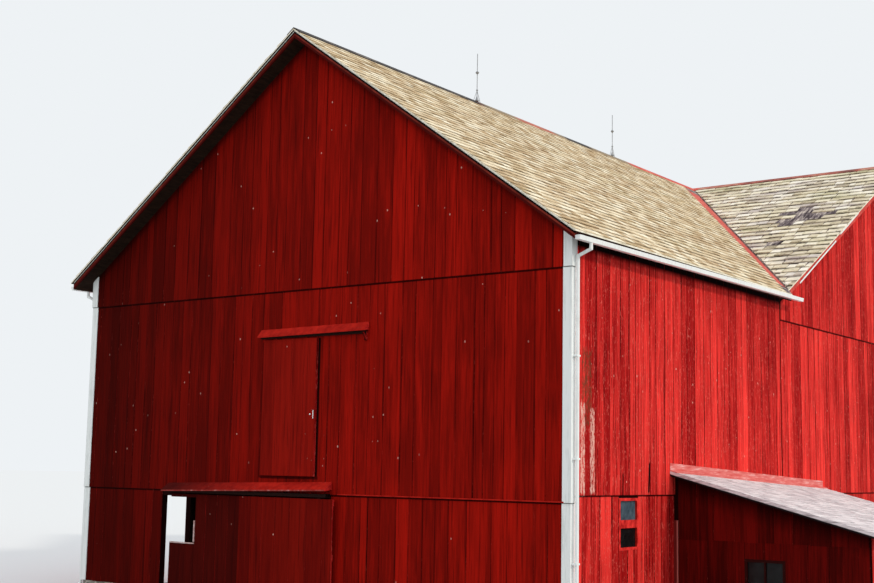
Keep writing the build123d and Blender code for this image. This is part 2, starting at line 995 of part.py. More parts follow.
pieces = {
    "end_foundations": end_foundations(),
    "side_foundations": side_foundations(),
    "ground_floor": ground_floor(),
    "front_wall_lower": front_wall_lower(),
    "front_wall_upper": front_wall_upper(),
    "door_lintels": door_lintels(),
    "front_gable": front_gable(room),
    "right_wall": right_wall_solid - side_window_hole(),
    "left_wall_lower": left_wall_lower(),
    "left_wall_upper": left_wall_upper(room),
    "right_cross_wall": right_cross_wall_solid,
    "left_cross_wall": mirrored(right_cross_wall_solid),
    "right_cross_gable": gable_right,
    "left_cross_gable": mirrored(gable_right),
    "rear_wall": rear_wall(room),
    "posts": posts(),
    "floor_girders": floor_girders(),
    "mow_floor": mow_floor(),
    "main_roof_right": main_right,
    "main_roof_left": mirrored(main_right),
    "cross_roof_front_right": cross_front,
    "cross_roof_front_left": mirrored(cross_front),
    "cross_roof_rear": cross_roof_rear(),
    "main_ridge_cap": main_ridge_cap(cross_cap, [cross_front, mirrored(cross_front)]),
    "cross_ridge_cap": cross_cap,
    "valley_flashings": group([valley_flashing(), mirrored(valley_flashing())]),
    "rake_boards": rake_boards(),
    "corner_boards": corner_boards(room),
    "gutters": gutters(),
    "downspouts": downspouts(),
    "lightning_rods": lightning_rods(),
    "upper_door": upper_door(),
    "upper_door_hood": upper_door_hood(),
    "lower_door_hood": lower_door_hood(),
    "door_rails": door_rails(),
    "lower_right_door": lower_right_door(),
    "lower_right_hangers": hangers(right_leaf_left_edge, track_centre(1), leaf_top, leaf_width),
    "lower_left_door": lower_left_door(),
    "lower_left_hangers": hangers(left_leaf_left_edge, track_centre(0), leaf_top, leaf_width),
    "window_frames": window_frames(),
    "window_panes": window_panes(),
    "shed_end_walls": shed_end_walls([right_wall_solid, right_cross_wall_solid]),
    "shed_front_wall": shed_front_wall(),
    "shed_roof": shed_roof(),
    "shed_flashing": shed_flashing(),
}

for node, shape in pieces.items():
    save(node, shape)
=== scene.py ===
import math

import bpy
from mathutils import Matrix, Vector


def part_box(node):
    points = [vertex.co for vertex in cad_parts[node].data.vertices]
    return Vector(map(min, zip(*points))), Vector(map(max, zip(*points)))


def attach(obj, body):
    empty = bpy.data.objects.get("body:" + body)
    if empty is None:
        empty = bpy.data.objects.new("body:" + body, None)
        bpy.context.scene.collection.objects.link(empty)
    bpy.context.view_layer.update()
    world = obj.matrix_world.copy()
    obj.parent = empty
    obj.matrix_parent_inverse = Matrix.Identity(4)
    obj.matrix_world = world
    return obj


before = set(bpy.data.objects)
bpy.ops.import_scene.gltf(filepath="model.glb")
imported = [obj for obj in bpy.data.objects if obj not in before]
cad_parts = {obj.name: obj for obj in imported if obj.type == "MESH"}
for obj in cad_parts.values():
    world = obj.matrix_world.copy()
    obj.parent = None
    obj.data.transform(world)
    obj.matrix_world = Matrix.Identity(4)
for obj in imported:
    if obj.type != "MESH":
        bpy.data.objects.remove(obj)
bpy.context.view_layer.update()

bl_info = {
    "name": "Timber barn dressing",
    "version": (1, 0, 0),
    "blender": (4, 5, 0),
    "location": "3D View > Sidebar > Barn",
    "description": "Boards, shingles, trims, fittings and finishes for a two-storey timber barn",
    "category": "Object",
}

# Places on the barn, in metres, in the frame of the CAD
HALF_WIDTH = 6.1
FRONT, REAR = -12.95, 12.95
SEAM = -4.05
CROSS_RIDGE = 4.45
RODS = (FRONT + 5.9, FRONT + 12.4)
RIDGE_HEIGHT = 11.35
MAIN_EAVE_HEIGHT, CROSS_EAVE_HEIGHT = 6.98, 6.75
MAIN_SLOPE = (RIDGE_HEIGHT - MAIN_EAVE_HEIGHT) / HALF_WIDTH
CROSS_SLOPE = (RIDGE_HEIGHT - CROSS_EAVE_HEIGHT) / (REAR - CROSS_RIDGE)
VALLEY_RATIO = MAIN_SLOPE / CROSS_SLOPE
ROOF_DEPTH = 0.18
EAVE_OVERHANG, CROSS_OVERHANG = 0.34, 0.158
FRONT_OVERHANG = 0.438
BOARD_LAP = 0.015
SEAM_GAP = 0.035
FOUNDATION_TOP = 0.3
FRONT_JOINT, SIDE_JOINT, GABLE_JOINT = 2.28, 2.4, 6.2
SIDE_WINDOW = (FRONT + 1.63, FRONT + 2.33)
SIDE_WINDOW_SILL = 1.45
SIDE_DOOR = (FRONT + 1.75, FRONT + 2.95)
SIDE_DOOR_HEAD = 2.18
FRONT_ZONE_END = -12.5

DOORWAY = (-3.66, 0.95)
RIGHT_LEAF, LEFT_LEAF = -1.29, -3.31
LEAF_WIDTH = 2.4
LEAF_LOW, LEAF_HIGH = 0.06, 2.2
RIGHT_LEAF_FACE, LEFT_LEAF_FACE = FRONT - 0.1515, FRONT - 0.0755
HATCH_WIDTH, HATCH_SILL = 0.73, 1.24
UPPER_DOOR = (-0.86, 0.53)
UPPER_DOOR_LOW, UPPER_DOOR_HIGH = 2.61, 5.24
UPPER_DOOR_FACE = FRONT - BOARD_LAP - 0.047
UPPER_OPENING = -0.77
UPPER_GAP_END = 0.59
OLD_PANEL_END = 1.83

SHED_FRONT, SHED_REAR = -9.2, -1.85
SHED_OUTER = 9.77
SHED_TOP = 2.83
SHED_SLOPE = 0.26
SHED_FALL = 0.29 / 7.35
SHED_JOINT = 1.6
SHED_ROOF_DEPTH = 0.09
SHED_POST_WIDTH = 0.1
SHED_WINDOW = (HALF_WIDTH + 1.39, HALF_WIDTH + 2.15)
SHED_WINDOW_LOW, SHED_WINDOW_HIGH = 0.54, 1.3

# The camera, as the photograph's vanishing lines give it
PHOTO_WIDTH, FOCAL_PIXELS = 874, 1329.18
CAMERA_PLACE = (17.4217, -31.9422, 2.8)
YAW, PITCH, ROLL = -0.6389, 0.1325, 0.0179


# Small helpers
def linear(code):
    """An sRGB hex colour as linear red, green, blue, alpha."""
    parts = [int(code[i:i + 2], 16) / 255 for i in (1, 3, 5)]
    return tuple(c / 12.92 if c <= 0.04045 else ((c + 0.055) / 1.055) ** 2.4 for c in parts) + (1.0,)


class Result:
    """What a node gives. Python's signs between results and numbers add the nodes of that sum.

    a | b is the larger and a & b the smaller of two; a > b and a < b are 1 where they hold, else 0."""

    def __init__(self, tree, node, socket=None):
        self.tree, self.node = tree, node
        self.socket = socket or next((s for s in node.outputs if s.enabled), None)

    def __getitem__(self, name):
        socket = next(s for s in self.node.outputs if s.enabled and s.name == name)
        return Result(self.tree, self.node, socket)

    def sum(self, operation, *others):
        return add(self.tree, "ShaderNodeMath", (self, *others), operation=operation)

    def __add__(self, other):
        return self.sum("ADD", other)

    def __sub__(self, other):
        return self.sum("SUBTRACT", other)

    def __rsub__(self, other):
        return self.sum("MULTIPLY_ADD", -1.0, other)

    def __mul__(self, other):
        return self.sum("MULTIPLY", other)

    def __truediv__(self, other):
        return self.sum("DIVIDE", other)

    def __pow__(self, other):
        return self.sum("POWER", other)

    def __or__(self, other):
        return self.sum("MAXIMUM", other)

    def __and__(self, other):
        return self.sum("MINIMUM", other)

    def __gt__(self, other):
        return self.sum("GREATER_THAN", other)

    def __lt__(self, other):
        return self.sum("LESS_THAN", other)

    def __abs__(self):
        return self.sum("ABSOLUTE")


def add(tree, kind, inputs=(), stops=(), **settings):
    """Add a node with its settings, and feed its inputs, by name or in order, with values or results.

    A hex string is a colour, and stops are the places and colours of a colour ramp."""
    node = tree.nodes.new(kind)
    for name, value in settings.items():
        setattr(node, name, value)
    for key, value in inputs.items() if isinstance(inputs, dict) else enumerate(inputs):
        by_name = isinstance(key, str)
        socket = next(s for s in node.inputs if s.enabled and s.name == key) if by_name else node.inputs[key]
        if isinstance(value, Result):
            tree.links.new(value.socket, socket)
        else:
            is_colour = isinstance(value, str) and value.startswith("#")
            socket.default_value = linear(value) if is_colour else value
    if stops:
        ends = node.color_ramp.elements
        while len(ends) < len(stops):
            ends.new(0.5)
        for end, (at, code) in zip(ends, stops):
            end.position, end.color = at, linear(code)
    return Result(tree, node)


def link_object(name, data):
    piece = bpy.data.objects.new(name, data)
    bpy.context.scene.collection.objects.link(piece)
    return piece


def hand_over(name, parts, body="barn"):
    """One piece from several objects, with their attributes and materials, handed to the frame."""
    if len(parts) > 1:
        with bpy.context.temp_override(active_object=parts[0], selected_editable_objects=parts):
            bpy.ops.object.join()
    piece = parts[0]
    piece.name = piece.data.name = name
    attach(piece, body)


def solid(name, lumps, material, bevel=0.0):
    """An object made of closed lumps, each a pair of corner points and faces."""
    points, faces = [], []
    for lump_points, lump_faces in lumps:
        start = len(points)
        points += [tuple(p) for p in lump_points]
        faces += [tuple(start + i for i in face) for face in lump_faces]
    mesh = bpy.data.meshes.new(name)
    mesh.from_pydata(points, [], faces)
    mesh.update()
    mesh.materials.append(material)
    piece = link_object(name, mesh)
    if bevel:
        edge = piece.modifiers.new("Eased edges", "BEVEL")
        edge.width, edge.segments, edge.limit_method = bevel, 2, "ANGLE"
    return piece


def bar(start, end, width, depth, up=(0, 0, 1)):
    """A straight bar from one point to another: its width lies across up, and its depth along it."""
    a, b = Vector(start), Vector(end)
    along = (b - a).normalized()
    side = along.cross(Vector(up)).normalized()
    lift = side.cross(along).normalized()
    points = [end_point + side * s * width / 2 + lift * t * depth / 2
              for end_point in (a, b) for s, t in ((-1, -1), (1, -1), (1, 1), (-1, 1))]
    faces = [(0, 1, 2, 3), (7, 6, 5, 4), (0, 4, 5, 1), (1, 5, 6, 2), (2, 6, 7, 3), (3, 7, 4, 0)]
    return points, faces


def turned(low, high, profile, sides=12):
    """A turned form between two points: profile is a list of (share of the way, radius)."""
    a, b = Vector(low), Vector(high)
    along = (b - a).normalized()
    side = along.orthogonal().normalized()
    other = along.cross(side)
    angles = [2 * math.pi * i / sides for i in range(sides)]
    points = [a.lerp(b, share) + (side * math.cos(angle) + other * math.sin(angle)) * radius
              for share, radius in profile for angle in angles]
    faces = []
    for ring in range(len(profile) - 1):
        low_ring, high_ring = ring * sides, (ring + 1) * sides
        for i in range(sides):
            j = (i + 1) % sides
            faces.append((low_ring + i, low_ring + j, high_ring + j, high_ring + i))
    last = (len(profile) - 1) * sides
    faces += [tuple(range(sides - 1, -1, -1)), tuple(last + i for i in range(sides))]
    return points, faces


# Node trees for what repeats
SOCKETS = {
    float: "NodeSocketFloat", int: "NodeSocketInt", tuple: "NodeSocketVector",
    type(None): "NodeSocketMaterial",
}
NO_PEAK = 60.0
NOWHERE = (0.0, -50.0, 0.01)
PATCHES = [f"Bare Patch {number}" for number in range(1, 5)]


def geometry_tree(name, inputs):
    """A Geometry Nodes tree with named inputs and their defaults; returns the tree and its entry."""
    tree = bpy.data.node_groups.new(name, "GeometryNodeTree")
    tree.interface.new_socket("Geometry", in_out="OUTPUT", socket_type="NodeSocketGeometry")
    for label, default in inputs.items():
        socket = tree.interface.new_socket(label, in_out="INPUT", socket_type=SOCKETS[type(default)])
        if default is not None:
            socket.default_value = default
    return tree, Result(tree, tree.nodes.new("NodeGroupInput"))


def chances(tree, seed, names):
    """Random numbers from 0 to 1, each with a name and a seed of its own."""
    return {
        name: add(tree, "FunctionNodeRandomValue", {"Seed": seed + float(number)}, data_type="FLOAT")
        for number, name in enumerate(names)
    }


def settle(points, name, value):
    """Keep a value on each point and read it back, so that it no longer changes; returns both."""
    kept = add(points.tree, "GeometryNodeStoreNamedAttribute",
               {"Geometry": points, "Name": name, "Value": value}, data_type="FLOAT", domain="POINT")
    return kept, add(points.tree, "GeometryNodeInputNamedAttribute", {"Name": name}, data_type="FLOAT")


def position(tree):
    """X, Y and Z of each point of a Geometry Nodes tree."""
    return add(tree, "ShaderNodeSeparateXYZ", {"Vector": add(tree, "GeometryNodeInputPosition")})


def lay(points, shape, size, turn, shift, tone):
    """Set a shape on each point with its own size, turn, shift and tone, and make it all real mesh."""
    tree = points.tree
    laid = add(tree, "GeometryNodeInstanceOnPoints",
               {"Points": points, "Instance": shape, "Scale": size, "Rotation": turn})
    laid = add(tree, "GeometryNodeTranslateInstances",
               {"Instances": laid, "Translation": shift, "Local Space": False})
    laid = add(tree, "GeometryNodeStoreNamedAttribute", {"Geometry": laid, "Name": "tone", "Value": tone},
               data_type="FLOAT", domain="INSTANCE")
    return add(tree, "GeometryNodeRealizeInstances", {"Geometry": laid})


def close_tree(mesh, material, cut=None):
    """Move each corner to where cut has it, give the material, and end the tree."""
    tree = mesh.tree
    if cut:
        corner = add(tree, "ShaderNodeCombineXYZ", cut)
        mesh = add(tree, "GeometryNodeSetPosition", {"Geometry": mesh, "Position": corner})
    done = add(tree, "GeometryNodeSetMaterial", {"Geometry": mesh, "Material": material})
    add(tree, "NodeGroupOutput", {"Geometry": done})
    return tree


def grow(name, tree, values, matrix):
    """Run a tree once with these inputs, and keep its result as a plain mesh placed by matrix."""
    holder = link_object(name, bpy.data.meshes.new(name + "_holder"))
    modifier = holder.modifiers.new(tree.name, "NODES")
    modifier.node_group = tree
    for item in tree.interface.items_tree:
        if item.in_out == "INPUT" and item.name in values:
            modifier[item.identifier] = values[item.name]
    depsgraph = bpy.context.evaluated_depsgraph_get()
    mesh = bpy.data.meshes.new_from_object(holder.evaluated_get(depsgraph), depsgraph=depsgraph)
    if not mesh.polygons:
        raise RuntimeError(f"{name}: the tree {tree.name} made nothing")
    holder.modifiers.remove(modifier)
    mesh.transform(matrix)
    mesh.update()
    holder.data = mesh
    return holder


def board_tree():
    """Upright boards of random width side by side, cut along their top by a roof line."""
    tree, entry = geometry_tree("Upright boards", {
        "Run": 5.0, "Height": 2.0, "Board Width": 0.3, "Width Spread": 0.1, "Gap": 0.008,
        "Thickness": 0.012, "Ragged End": 0.008, "Twist": 0.01, "Peak": NO_PEAK, "Slope": 0.0, "Apex": 0.0,
        "Seed": 1, "Material": None,
    })
    chance = chances(tree, entry["Seed"], ("width", "gap", "end", "thickness", "turn", "tone"))
    narrow = entry["Board Width"] - entry["Width Spread"]
    line = add(tree, "GeometryNodeMeshLine",
               {"Count": (entry["Run"] / narrow).sum("CEIL") + 1.0, "Offset": (0.0, 0.0, 0.0)})
    line, width = settle(line, "width", narrow + entry["Width Spread"] * chance["width"] * 2.0)
    start = add(tree, "GeometryNodeAccumulateField", {"Value": width},
                data_type="FLOAT", domain="POINT")["Trailing"]
    middle = add(tree, "ShaderNodeCombineXYZ", {"X": start + width * 0.5})
    points = add(tree, "GeometryNodeSetPosition", {"Geometry": line, "Position": middle})
    points = add(tree, "GeometryNodeDeleteGeometry",
                 {"Geometry": points, "Selection": start > entry["Run"] - 0.05}, domain="POINT")
    cube = add(tree, "GeometryNodeMeshCube", {"Size": (1.0, 1.0, 1.0)})
    cube = add(tree, "GeometryNodeStoreNamedAttribute",
               {"Geometry": cube, "Name": "across", "Value": position(tree)["X"] + 0.5},
               data_type="FLOAT", domain="POINT")
    board = add(tree, "GeometryNodeTransform", {"Geometry": cube, "Translation": (0.0, -0.5, 0.5)})
    # Most boards stand tight, and about one in four leaves an open joint
    gap = entry["Gap"] * (chance["gap"] ** 3.0 * 2.4 + 0.25)
    ragged = entry["Ragged End"] * chance["end"]
    size = add(tree, "ShaderNodeCombineXYZ", {
        "X": width - gap, "Y": entry["Thickness"] * (chance["thickness"] * 0.28 + 0.72),
        "Z": entry["Height"] + ragged,
    })
    turn = add(tree, "ShaderNodeCombineXYZ", {"Z": entry["Twist"] * (chance["turn"] * 2.0 - 1.0)})
    drop = add(tree, "ShaderNodeCombineXYZ", {"Z": ragged * -1.0})
    stood = lay(points, board, size, turn, drop, chance["tone"])
    where = position(tree)
    x = (where["X"] | 0.0) & entry["Run"]
    roof = entry["Peak"] - abs(x - entry["Apex"]) * entry["Slope"]
    return close_tree(stood, entry["Material"], {"X": x, "Y": where["Y"], "Z": where["Z"] & roof})


def shingle_tree():
    """Courses of wedge-shaped shingles up a slope, between two straight edges, with bare patches.

    A patch is its place along the eave, its place up the slope, and its radius."""
    tree, entry = geometry_tree("Shingle courses", {
        "Run": 5.0, "Rise": 5.0, "Exposure": 0.2, "Shingle Width": 0.2, "Width Spread": 0.07,
        "Butt Thickness": 0.014, "Gap": 0.006, "Unevenness": 0.01, "Left Start": 0.0, "Left Lean": 0.0,
        "Right Start": 5.0, "Right Lean": 0.0, "Patch Stretch": 1.0, **{label: NOWHERE for label in PATCHES},
        "Seed": 1, "Material": None,
    })
    chance = chances(tree, entry["Seed"], ("width", "patch", "gap", "butt", "turn", "slip", "tone"))
    exposure = entry["Exposure"]
    rows = (entry["Rise"] / exposure).sum("CEIL")
    columns = (entry["Run"] / entry["Shingle Width"] * 1.12 + 4.0).sum("CEIL")
    line = add(tree, "GeometryNodeMeshLine", {"Count": rows * columns, "Offset": (0.0, 0.0, 0.0)})
    width = entry["Shingle Width"] + entry["Width Spread"] * (chance["width"] * 2.0 - 1.0)
    row = ((add(tree, "GeometryNodeInputIndex") + 0.5) / columns).sum("FLOOR")
    line, width = settle(line, "width", width)
    line, row = settle(line, "row", row)
    start = add(tree, "GeometryNodeAccumulateField", {"Value": width, "Group ID": row},
                data_type="FLOAT", domain="POINT")["Trailing"]
    shift = add(tree, "FunctionNodeRandomValue", {"ID": row, "Seed": entry["Seed"]}, data_type="FLOAT")
    middle = start + width * 0.5 - shift * entry["Shingle Width"]
    place = add(tree, "ShaderNodeCombineXYZ", {"X": middle, "Y": row * exposure})
    points = add(tree, "GeometryNodeSetPosition", {"Geometry": line, "Position": place})
    where = position(tree)
    x, y = where["X"], where["Y"]
    # A shingle goes when it lies past an edge at both ends of its course
    left = entry["Left Start"] + entry["Left Lean"] * y + (entry["Left Lean"] * exposure & 0.0)
    right = entry["Right Start"] + entry["Right Lean"] * y + (entry["Right Lean"] * exposure | 0.0)
    gone = (x + width * 0.5 < left + 0.03) | (x - width * 0.5 > right - 0.03)
    for label in PATCHES:
        patch = add(tree, "ShaderNodeSeparateXYZ", {"Vector": entry[label]})
        across = (x - patch["X"]) / (patch["Z"] * entry["Patch Stretch"])
        along = (y - patch["Y"]) / patch["Z"]
        gone = gone | (across * across + along * along < chance["patch"] * 0.8 + 0.6)
    points = add(tree, "GeometryNodeDeleteGeometry", {"Geometry": points, "Selection": gone}, domain="POINT")

    cube = add(tree, "GeometryNodeMeshCube", {"Size": (1.0, 1.0, 1.0)})
    lifted = add(tree, "GeometryNodeTransform", {"Geometry": cube, "Translation": (0.0, 0.5, 0.5)})
    corner = position(tree)
    thin_end = add(tree, "ShaderNodeCombineXYZ", {
        "X": corner["X"], "Y": corner["Y"], "Z": corner["Z"] * (1.0 - corner["Y"] * 0.85)})
    wedge = add(tree, "GeometryNodeSetPosition", {"Geometry": lifted, "Position": thin_end})
    wedge = add(tree, "GeometryNodeStoreNamedAttribute",
                {"Geometry": wedge, "Name": "along", "Value": corner["Y"]},
                data_type="FLOAT", domain="POINT")
    size = add(tree, "ShaderNodeCombineXYZ", {
        "X": width - entry["Gap"] * (chance["gap"] * 1.4 + 0.4), "Y": exposure + 0.022,
        "Z": entry["Butt Thickness"] * (chance["butt"] * 0.7 + 0.6),
    })
    turn = add(tree, "ShaderNodeCombineXYZ", {"Z": entry["Unevenness"] * (chance["turn"] * 4.0 - 2.0)})
    slip = add(tree, "ShaderNodeCombineXYZ", {"Y": entry["Unevenness"] * (chance["slip"] * 1.4 - 1.0)})
    laid = lay(points, wedge, size, turn, slip, chance["tone"])
    where = position(tree)
    y = (where["Y"] | 0.0) & entry["Rise"]
    x = where["X"] | entry["Left Start"] + entry["Left Lean"] * y
    x = x & entry["Right Start"] + entry["Right Lean"] * y
    return close_tree(laid, entry["Material"], {"X": x, "Y": y, "Z": where["Z"]})


def row_tree():
    """Equal small blocks in a straight row, such as straps."""
    tree, entry = geometry_tree("Row of fittings", {
        "Count": 5, "Step": (0.0, 1.0, 0.0), "Size": (0.03, 0.03, 0.03), "Material": None})
    line = add(tree, "GeometryNodeMeshLine", {"Count": entry["Count"], "Offset": entry["Step"]})
    cube = add(tree, "GeometryNodeMeshCube", {"Size": entry["Size"]})
    row = add(tree, "GeometryNodeInstanceOnPoints", {"Points": line, "Instance": cube})
    return close_tree(add(tree, "GeometryNodeRealizeInstances", {"Geometry": row}), entry["Material"])


MADE = {}


def once(maker):
    """Each node tree and each material is made once, and used by every piece of its kind."""
    if maker.__name__ not in MADE:
        MADE[maker.__name__] = maker()
    return MADE[maker.__name__]


# Materials
def new_material(name):
    """An empty material, with its tree and its object coordinates."""
    material = bpy.data.materials.new(name)
    material.use_nodes = True
    tree = material.node_tree
    tree.nodes.clear()
    return material, tree, add(tree, "ShaderNodeTexCoord")["Object"]


def finish(material, colour, roughness, relief, depth, specular=0.5, **sockets):
    """Close a material with its surface shader; relief stands depth metres high."""
    tree = material.node_tree
    bump = add(tree, "ShaderNodeBump", {"Height": relief, "Distance": depth})
    inputs = {"Base Color": colour, "Roughness": roughness, "Specular IOR Level": specular, "Normal": bump}
    shader = add(tree, "ShaderNodeBsdfPrincipled", {**inputs, **sockets})
    add(tree, "ShaderNodeOutputMaterial", {"Surface": shader})
    return material


def axes(tree):
    """X, Y and Z of each point of the barn, and of the way its face looks."""
    both = add(tree, "ShaderNodeTexCoord")
    return [add(tree, "ShaderNodeSeparateXYZ", {"Vector": both[name]}) for name in ("Object", "Normal")]


def coats(tree, colour, *layers):
    """Coats laid over a colour, each a pair: how much of it covers, and its own colour."""
    for cover, coat in layers:
        colour = add(tree, "ShaderNodeMix", {"Factor": cover, "A": colour, "B": coat}, data_type="RGBA")
    return colour


def blotches(place, size, detail=3.0, roughness=0.55, bend=0.0):
    """Soft noise in blotches of about this size in metres, alike or in X, Y and Z, curled by bend."""
    sizes = size if isinstance(size, tuple) else (size, size, size)
    mapped = add(place.tree, "ShaderNodeMapping", {"Vector": place, "Scale": tuple(1.0 / s for s in sizes)})
    return add(place.tree, "ShaderNodeTexNoise", {
        "Vector": mapped, "Scale": 1.0, "Detail": detail, "Roughness": roughness, "Distortion": bend})


def fade(value, start, end):
    """0 up to start, 1 from end on, and evenly between."""
    return add(value.tree, "ShaderNodeMapRange", {"Value": value, "From Min": start, "From Max": end})


def band(value, low, high, soft):
    """1 between low and high, and 0 beyond a soft edge on either side."""
    return fade(value, low - soft, low) * fade(value, high + soft, high)


def spot(at, one, two):
    """1 in a soft-edged spot on a wall: one and two are each an axis, its low and high end, and the edge."""
    return band(at[one[0]], *one[1:]) * band(at[two[0]], *two[1:])


def flakes(place, across, upright, share):
    """Sparse flakes of lost paint, large and small, bold and faint; share of the cells have one."""
    mapped = add(place.tree, "ShaderNodeMapping",
                 {"Vector": place, "Scale": (1.0 / across, 1.0 / across, 1.0 / upright)})
    cells = add(place.tree, "ShaderNodeTexVoronoi", {"Vector": mapped, "Scale": 1.0})
    pick = add(place.tree, "ShaderNodeSeparateColor", {"Color": cells["Color"]})
    inside = cells["Distance"] < pick["Green"] * 0.1 + 0.03
    return inside * (pick["Red"] < share) * (pick["Blue"] * 0.8 + 0.2)


def barn_red(name, dark, light, joints=1.0):
    """Old barn red on sawn boards: matt and chalky, streaked down the grain, and flaked in small specks.

    The side walls are brighter than the front with painted sunlight, and painted shade darkens the shed's
    front and the front towards its left.
    joints is how open the joints between the boards are."""
    material, tree, place = new_material(name)
    look = bpy.context.scene.barn_colours
    at, faces = axes(tree)
    side, right = abs(faces["X"]) > 0.5, faces["X"] > 0.5
    before = at["Y"] < FRONT_ZONE_END
    front = (faces["Y"] < -0.5) * before
    shed = (faces["Y"] < -0.5) * (at["X"] > HALF_WIDTH + 0.05)

    tone = add(tree, "ShaderNodeAttribute", attribute_name="tone")["Fac"]
    fine = blotches(place, (0.04, 0.04, 0.8), 4.0, 0.65)
    broad = blotches(place, (0.13, 0.13, 2.6), 2.0)
    cloud = blotches(place, (1.3, 1.3, 1.8), 2.0)
    worn = fade(tone * 0.42 + fine + broad * 0.65 + cloud * 0.4, 1.02, 1.52)
    # The sides' pair of colours is painted sunlight, the shed front's darker pair is painted shade, and the
    # last coat is painted shade that darkens the front towards its left
    colour = coats(
        tree, dark, (worn, light),
        (side, coats(tree, look.painted_sunlit_side_dark, (worn, look.painted_sunlit_side_light))),
        (shed, coats(tree, "#410604", (worn, "#6c0d09"))),
        (front * fade(at["X"], 2.5, -5.5) * 0.82, "#220301"),
    )

    # Board joints, splits and pale scuffs, a centimetre or two wide, drawn a little wide to show
    split = blotches(place, (0.035, 0.035, 1.4), 1.5)
    scuff = blotches(place, (0.04, 0.04, 0.13), 2.0, 0.6, 1.6)
    across = add(tree, "ShaderNodeAttribute", attribute_name="across")["Fac"]
    open_joint = fade(blotches(place, (0.5, 0.5, 1.3), 2.0), 0.4, 0.56) * 0.6 + 0.3
    joint = fade(across, 0.91, 0.95) * open_joint * (side * 0.3 + 0.7 - shed * 0.4) * joints
    dark_line = fade(split, 0.61, 0.67) * (side * 0.25 + 0.4) | joint
    pale_line = fade(scuff, 0.41, 0.33) * side * 0.55

    # Painted shade lies in the lap under each band of boards
    under = band(at["Z"], FRONT_JOINT - 0.028, FRONT_JOINT, 0.006) * front
    under = under | band(at["Z"], SIDE_JOINT - 0.026, SIDE_JOINT, 0.006) * side
    gable = front | side * (at["Y"] > SEAM)
    under = under | band(at["Z"], GABLE_JOINT - 0.03, GABLE_JOINT, 0.006) * gable
    # Painted shade also lies close under the eave of the front block, its rake boards and the shed's roof
    eave = fade(at["Z"], 6.49, 6.6) * side * (at["Y"] < SEAM)
    below_rake = abs(at["X"]) * -MAIN_SLOPE + (RIDGE_HEIGHT - ROOF_DEPTH) - at["Z"]
    below_shed = (at["X"] - HALF_WIDTH) * -SHED_SLOPE + (SHED_TOP - SHED_ROOF_DEPTH) - at["Z"]
    shade = eave * 1.1 | fade(below_rake, 0.2, 0.04) * front * 0.6 | fade(below_shed, 0.4, 0.0) * shed * 0.8
    # Painted shade lies in the corners along the left and lower edges of the upper door too
    beside = spot(at, ("X", UPPER_DOOR[0] - 0.05, UPPER_DOOR[0], 0.012), ("Z", 2.58, 5.2, 0.02))
    beneath = spot(at, ("Z", UPPER_DOOR_LOW - 0.05, UPPER_DOOR_LOW, 0.008), ("X", -0.88, 0.6, 0.02))
    shade = shade | (beside | beneath) * front * 0.7 | under * 0.85

    # Beside the downspout the paint has peeled in two ragged strips, with bare wood above them
    ragged = blotches(place, (0.022, 0.022, 0.1), 4.0, 0.75)
    strips = spot(at, ("Y", -12.66, -12.52, 0.05), ("Z", 2.45, 3.9, 0.35))
    strips = strips | spot(at, ("Y", -12.34, -12.2, 0.05), ("Z", 2.46, 3.8, 0.3))
    peeled = fade(strips * ragged * right, 0.46, 0.52) * 0.85
    wood = spot(at, ("Y", -12.62, -12.3, 0.06), ("Z", 3.6, 4.8, 0.4))
    wood = fade(wood * right * ragged, 0.46, 0.54) * 0.8
    # Two joints have opened where boards have shrunk
    slit = band(at["Y"] - at["Z"] * 0.08, -10.46, -10.42, 0.02) * band(at["Z"], 2.46, 2.95, 0.05)
    slit = (slit | spot(at, ("Y", -11.22, -11.19, 0.01), ("Z", 2.4, 2.75, 0.05))) * right
    # More flakes are lost on the side walls, and beside the latch of the upper door
    latch_side = spot(at, ("X", 0.22, 0.68, 0.1), ("Z", 2.75, 3.5, 0.1)) * before
    dots = flakes(place, 0.12, 0.19, 0.05) | flakes(place, 0.11, 0.17, 0.2) * side
    dots = (dots | flakes(place, 0.09, 0.13, 0.6) * latch_side * 1.5) * (1.0 - (shed | eave))
    # The corner's white paint runs on behind the downspout
    lapped = right * (at["X"] > HALF_WIDTH) * (at["Y"] < -12.78) * 0.9
    colour = coats(
        tree, colour, (dark_line, "#2a0303"), (pale_line, "#ee6c60"), (shade, "#0d0101"), (wood, "#5e3c28"),
        (slit, "#120202"), (peeled | dots * 0.75 & 1.0, look.undercoat), (lapped, "#eef0f0"),
    )
    return finish(material, colour, 0.85, fine + split * 0.5, 0.004, 0.03)


def board_paint():
    """The walls' red: middling on the front, bright with painted sunlight on the sides, dark with painted
    shade on the shed.
    """
    look = bpy.context.scene.barn_colours
    return barn_red("barn_red_paint_on_boards", look.front_dark, look.front_light)


def door_paint():
    """The right leaf's red: deeper and more even than the wall's, with finer joints."""
    return barn_red("barn_red_paint_on_doors", "#6e0c07", "#90150b", 0.5)


def upper_door_paint():
    """The upper door's red: the clearest on the front, with the finest joints."""
    return barn_red("barn_red_paint_on_upper_door", "#85110a", "#ab1b10", 0.35)


def left_leaf_paint_with_painted_shade():
    """The left leaf's red, darkened to brown with painted shade; the upper hood's bracket has it too."""
    return barn_red("red_paint_with_painted_shade_on_left_leaf", "#500a07", "#660f0a", 0.4)


def wall_behind_boards():
    """The wall under the boards: near black with painted shade in the joints and door jambs, old bare timber
    inside.
    """
    material, tree, place = new_material("shaded_wall_behind_boards")
    at, faces = axes(tree)
    # Outside and in the front's door jambs the wall is painted near black as shade
    outside = at["X"] * faces["X"] + at["Y"] * faces["Y"] > 5.0
    jamb = (abs(faces["X"]) > 0.5) * (at["Y"] < FRONT + 0.35)
    grain = blotches(place, (0.03, 0.03, 0.66), 5.0)
    timber = add(tree, "ShaderNodeValToRGB", {"Fac": grain}, stops=[(0.3, "#3a2c22"), (0.7, "#6d5745")])
    return finish(material, coats(tree, timber, (outside | jamb, "#1e0403")), 0.9, grain, 0.004, 0.05)


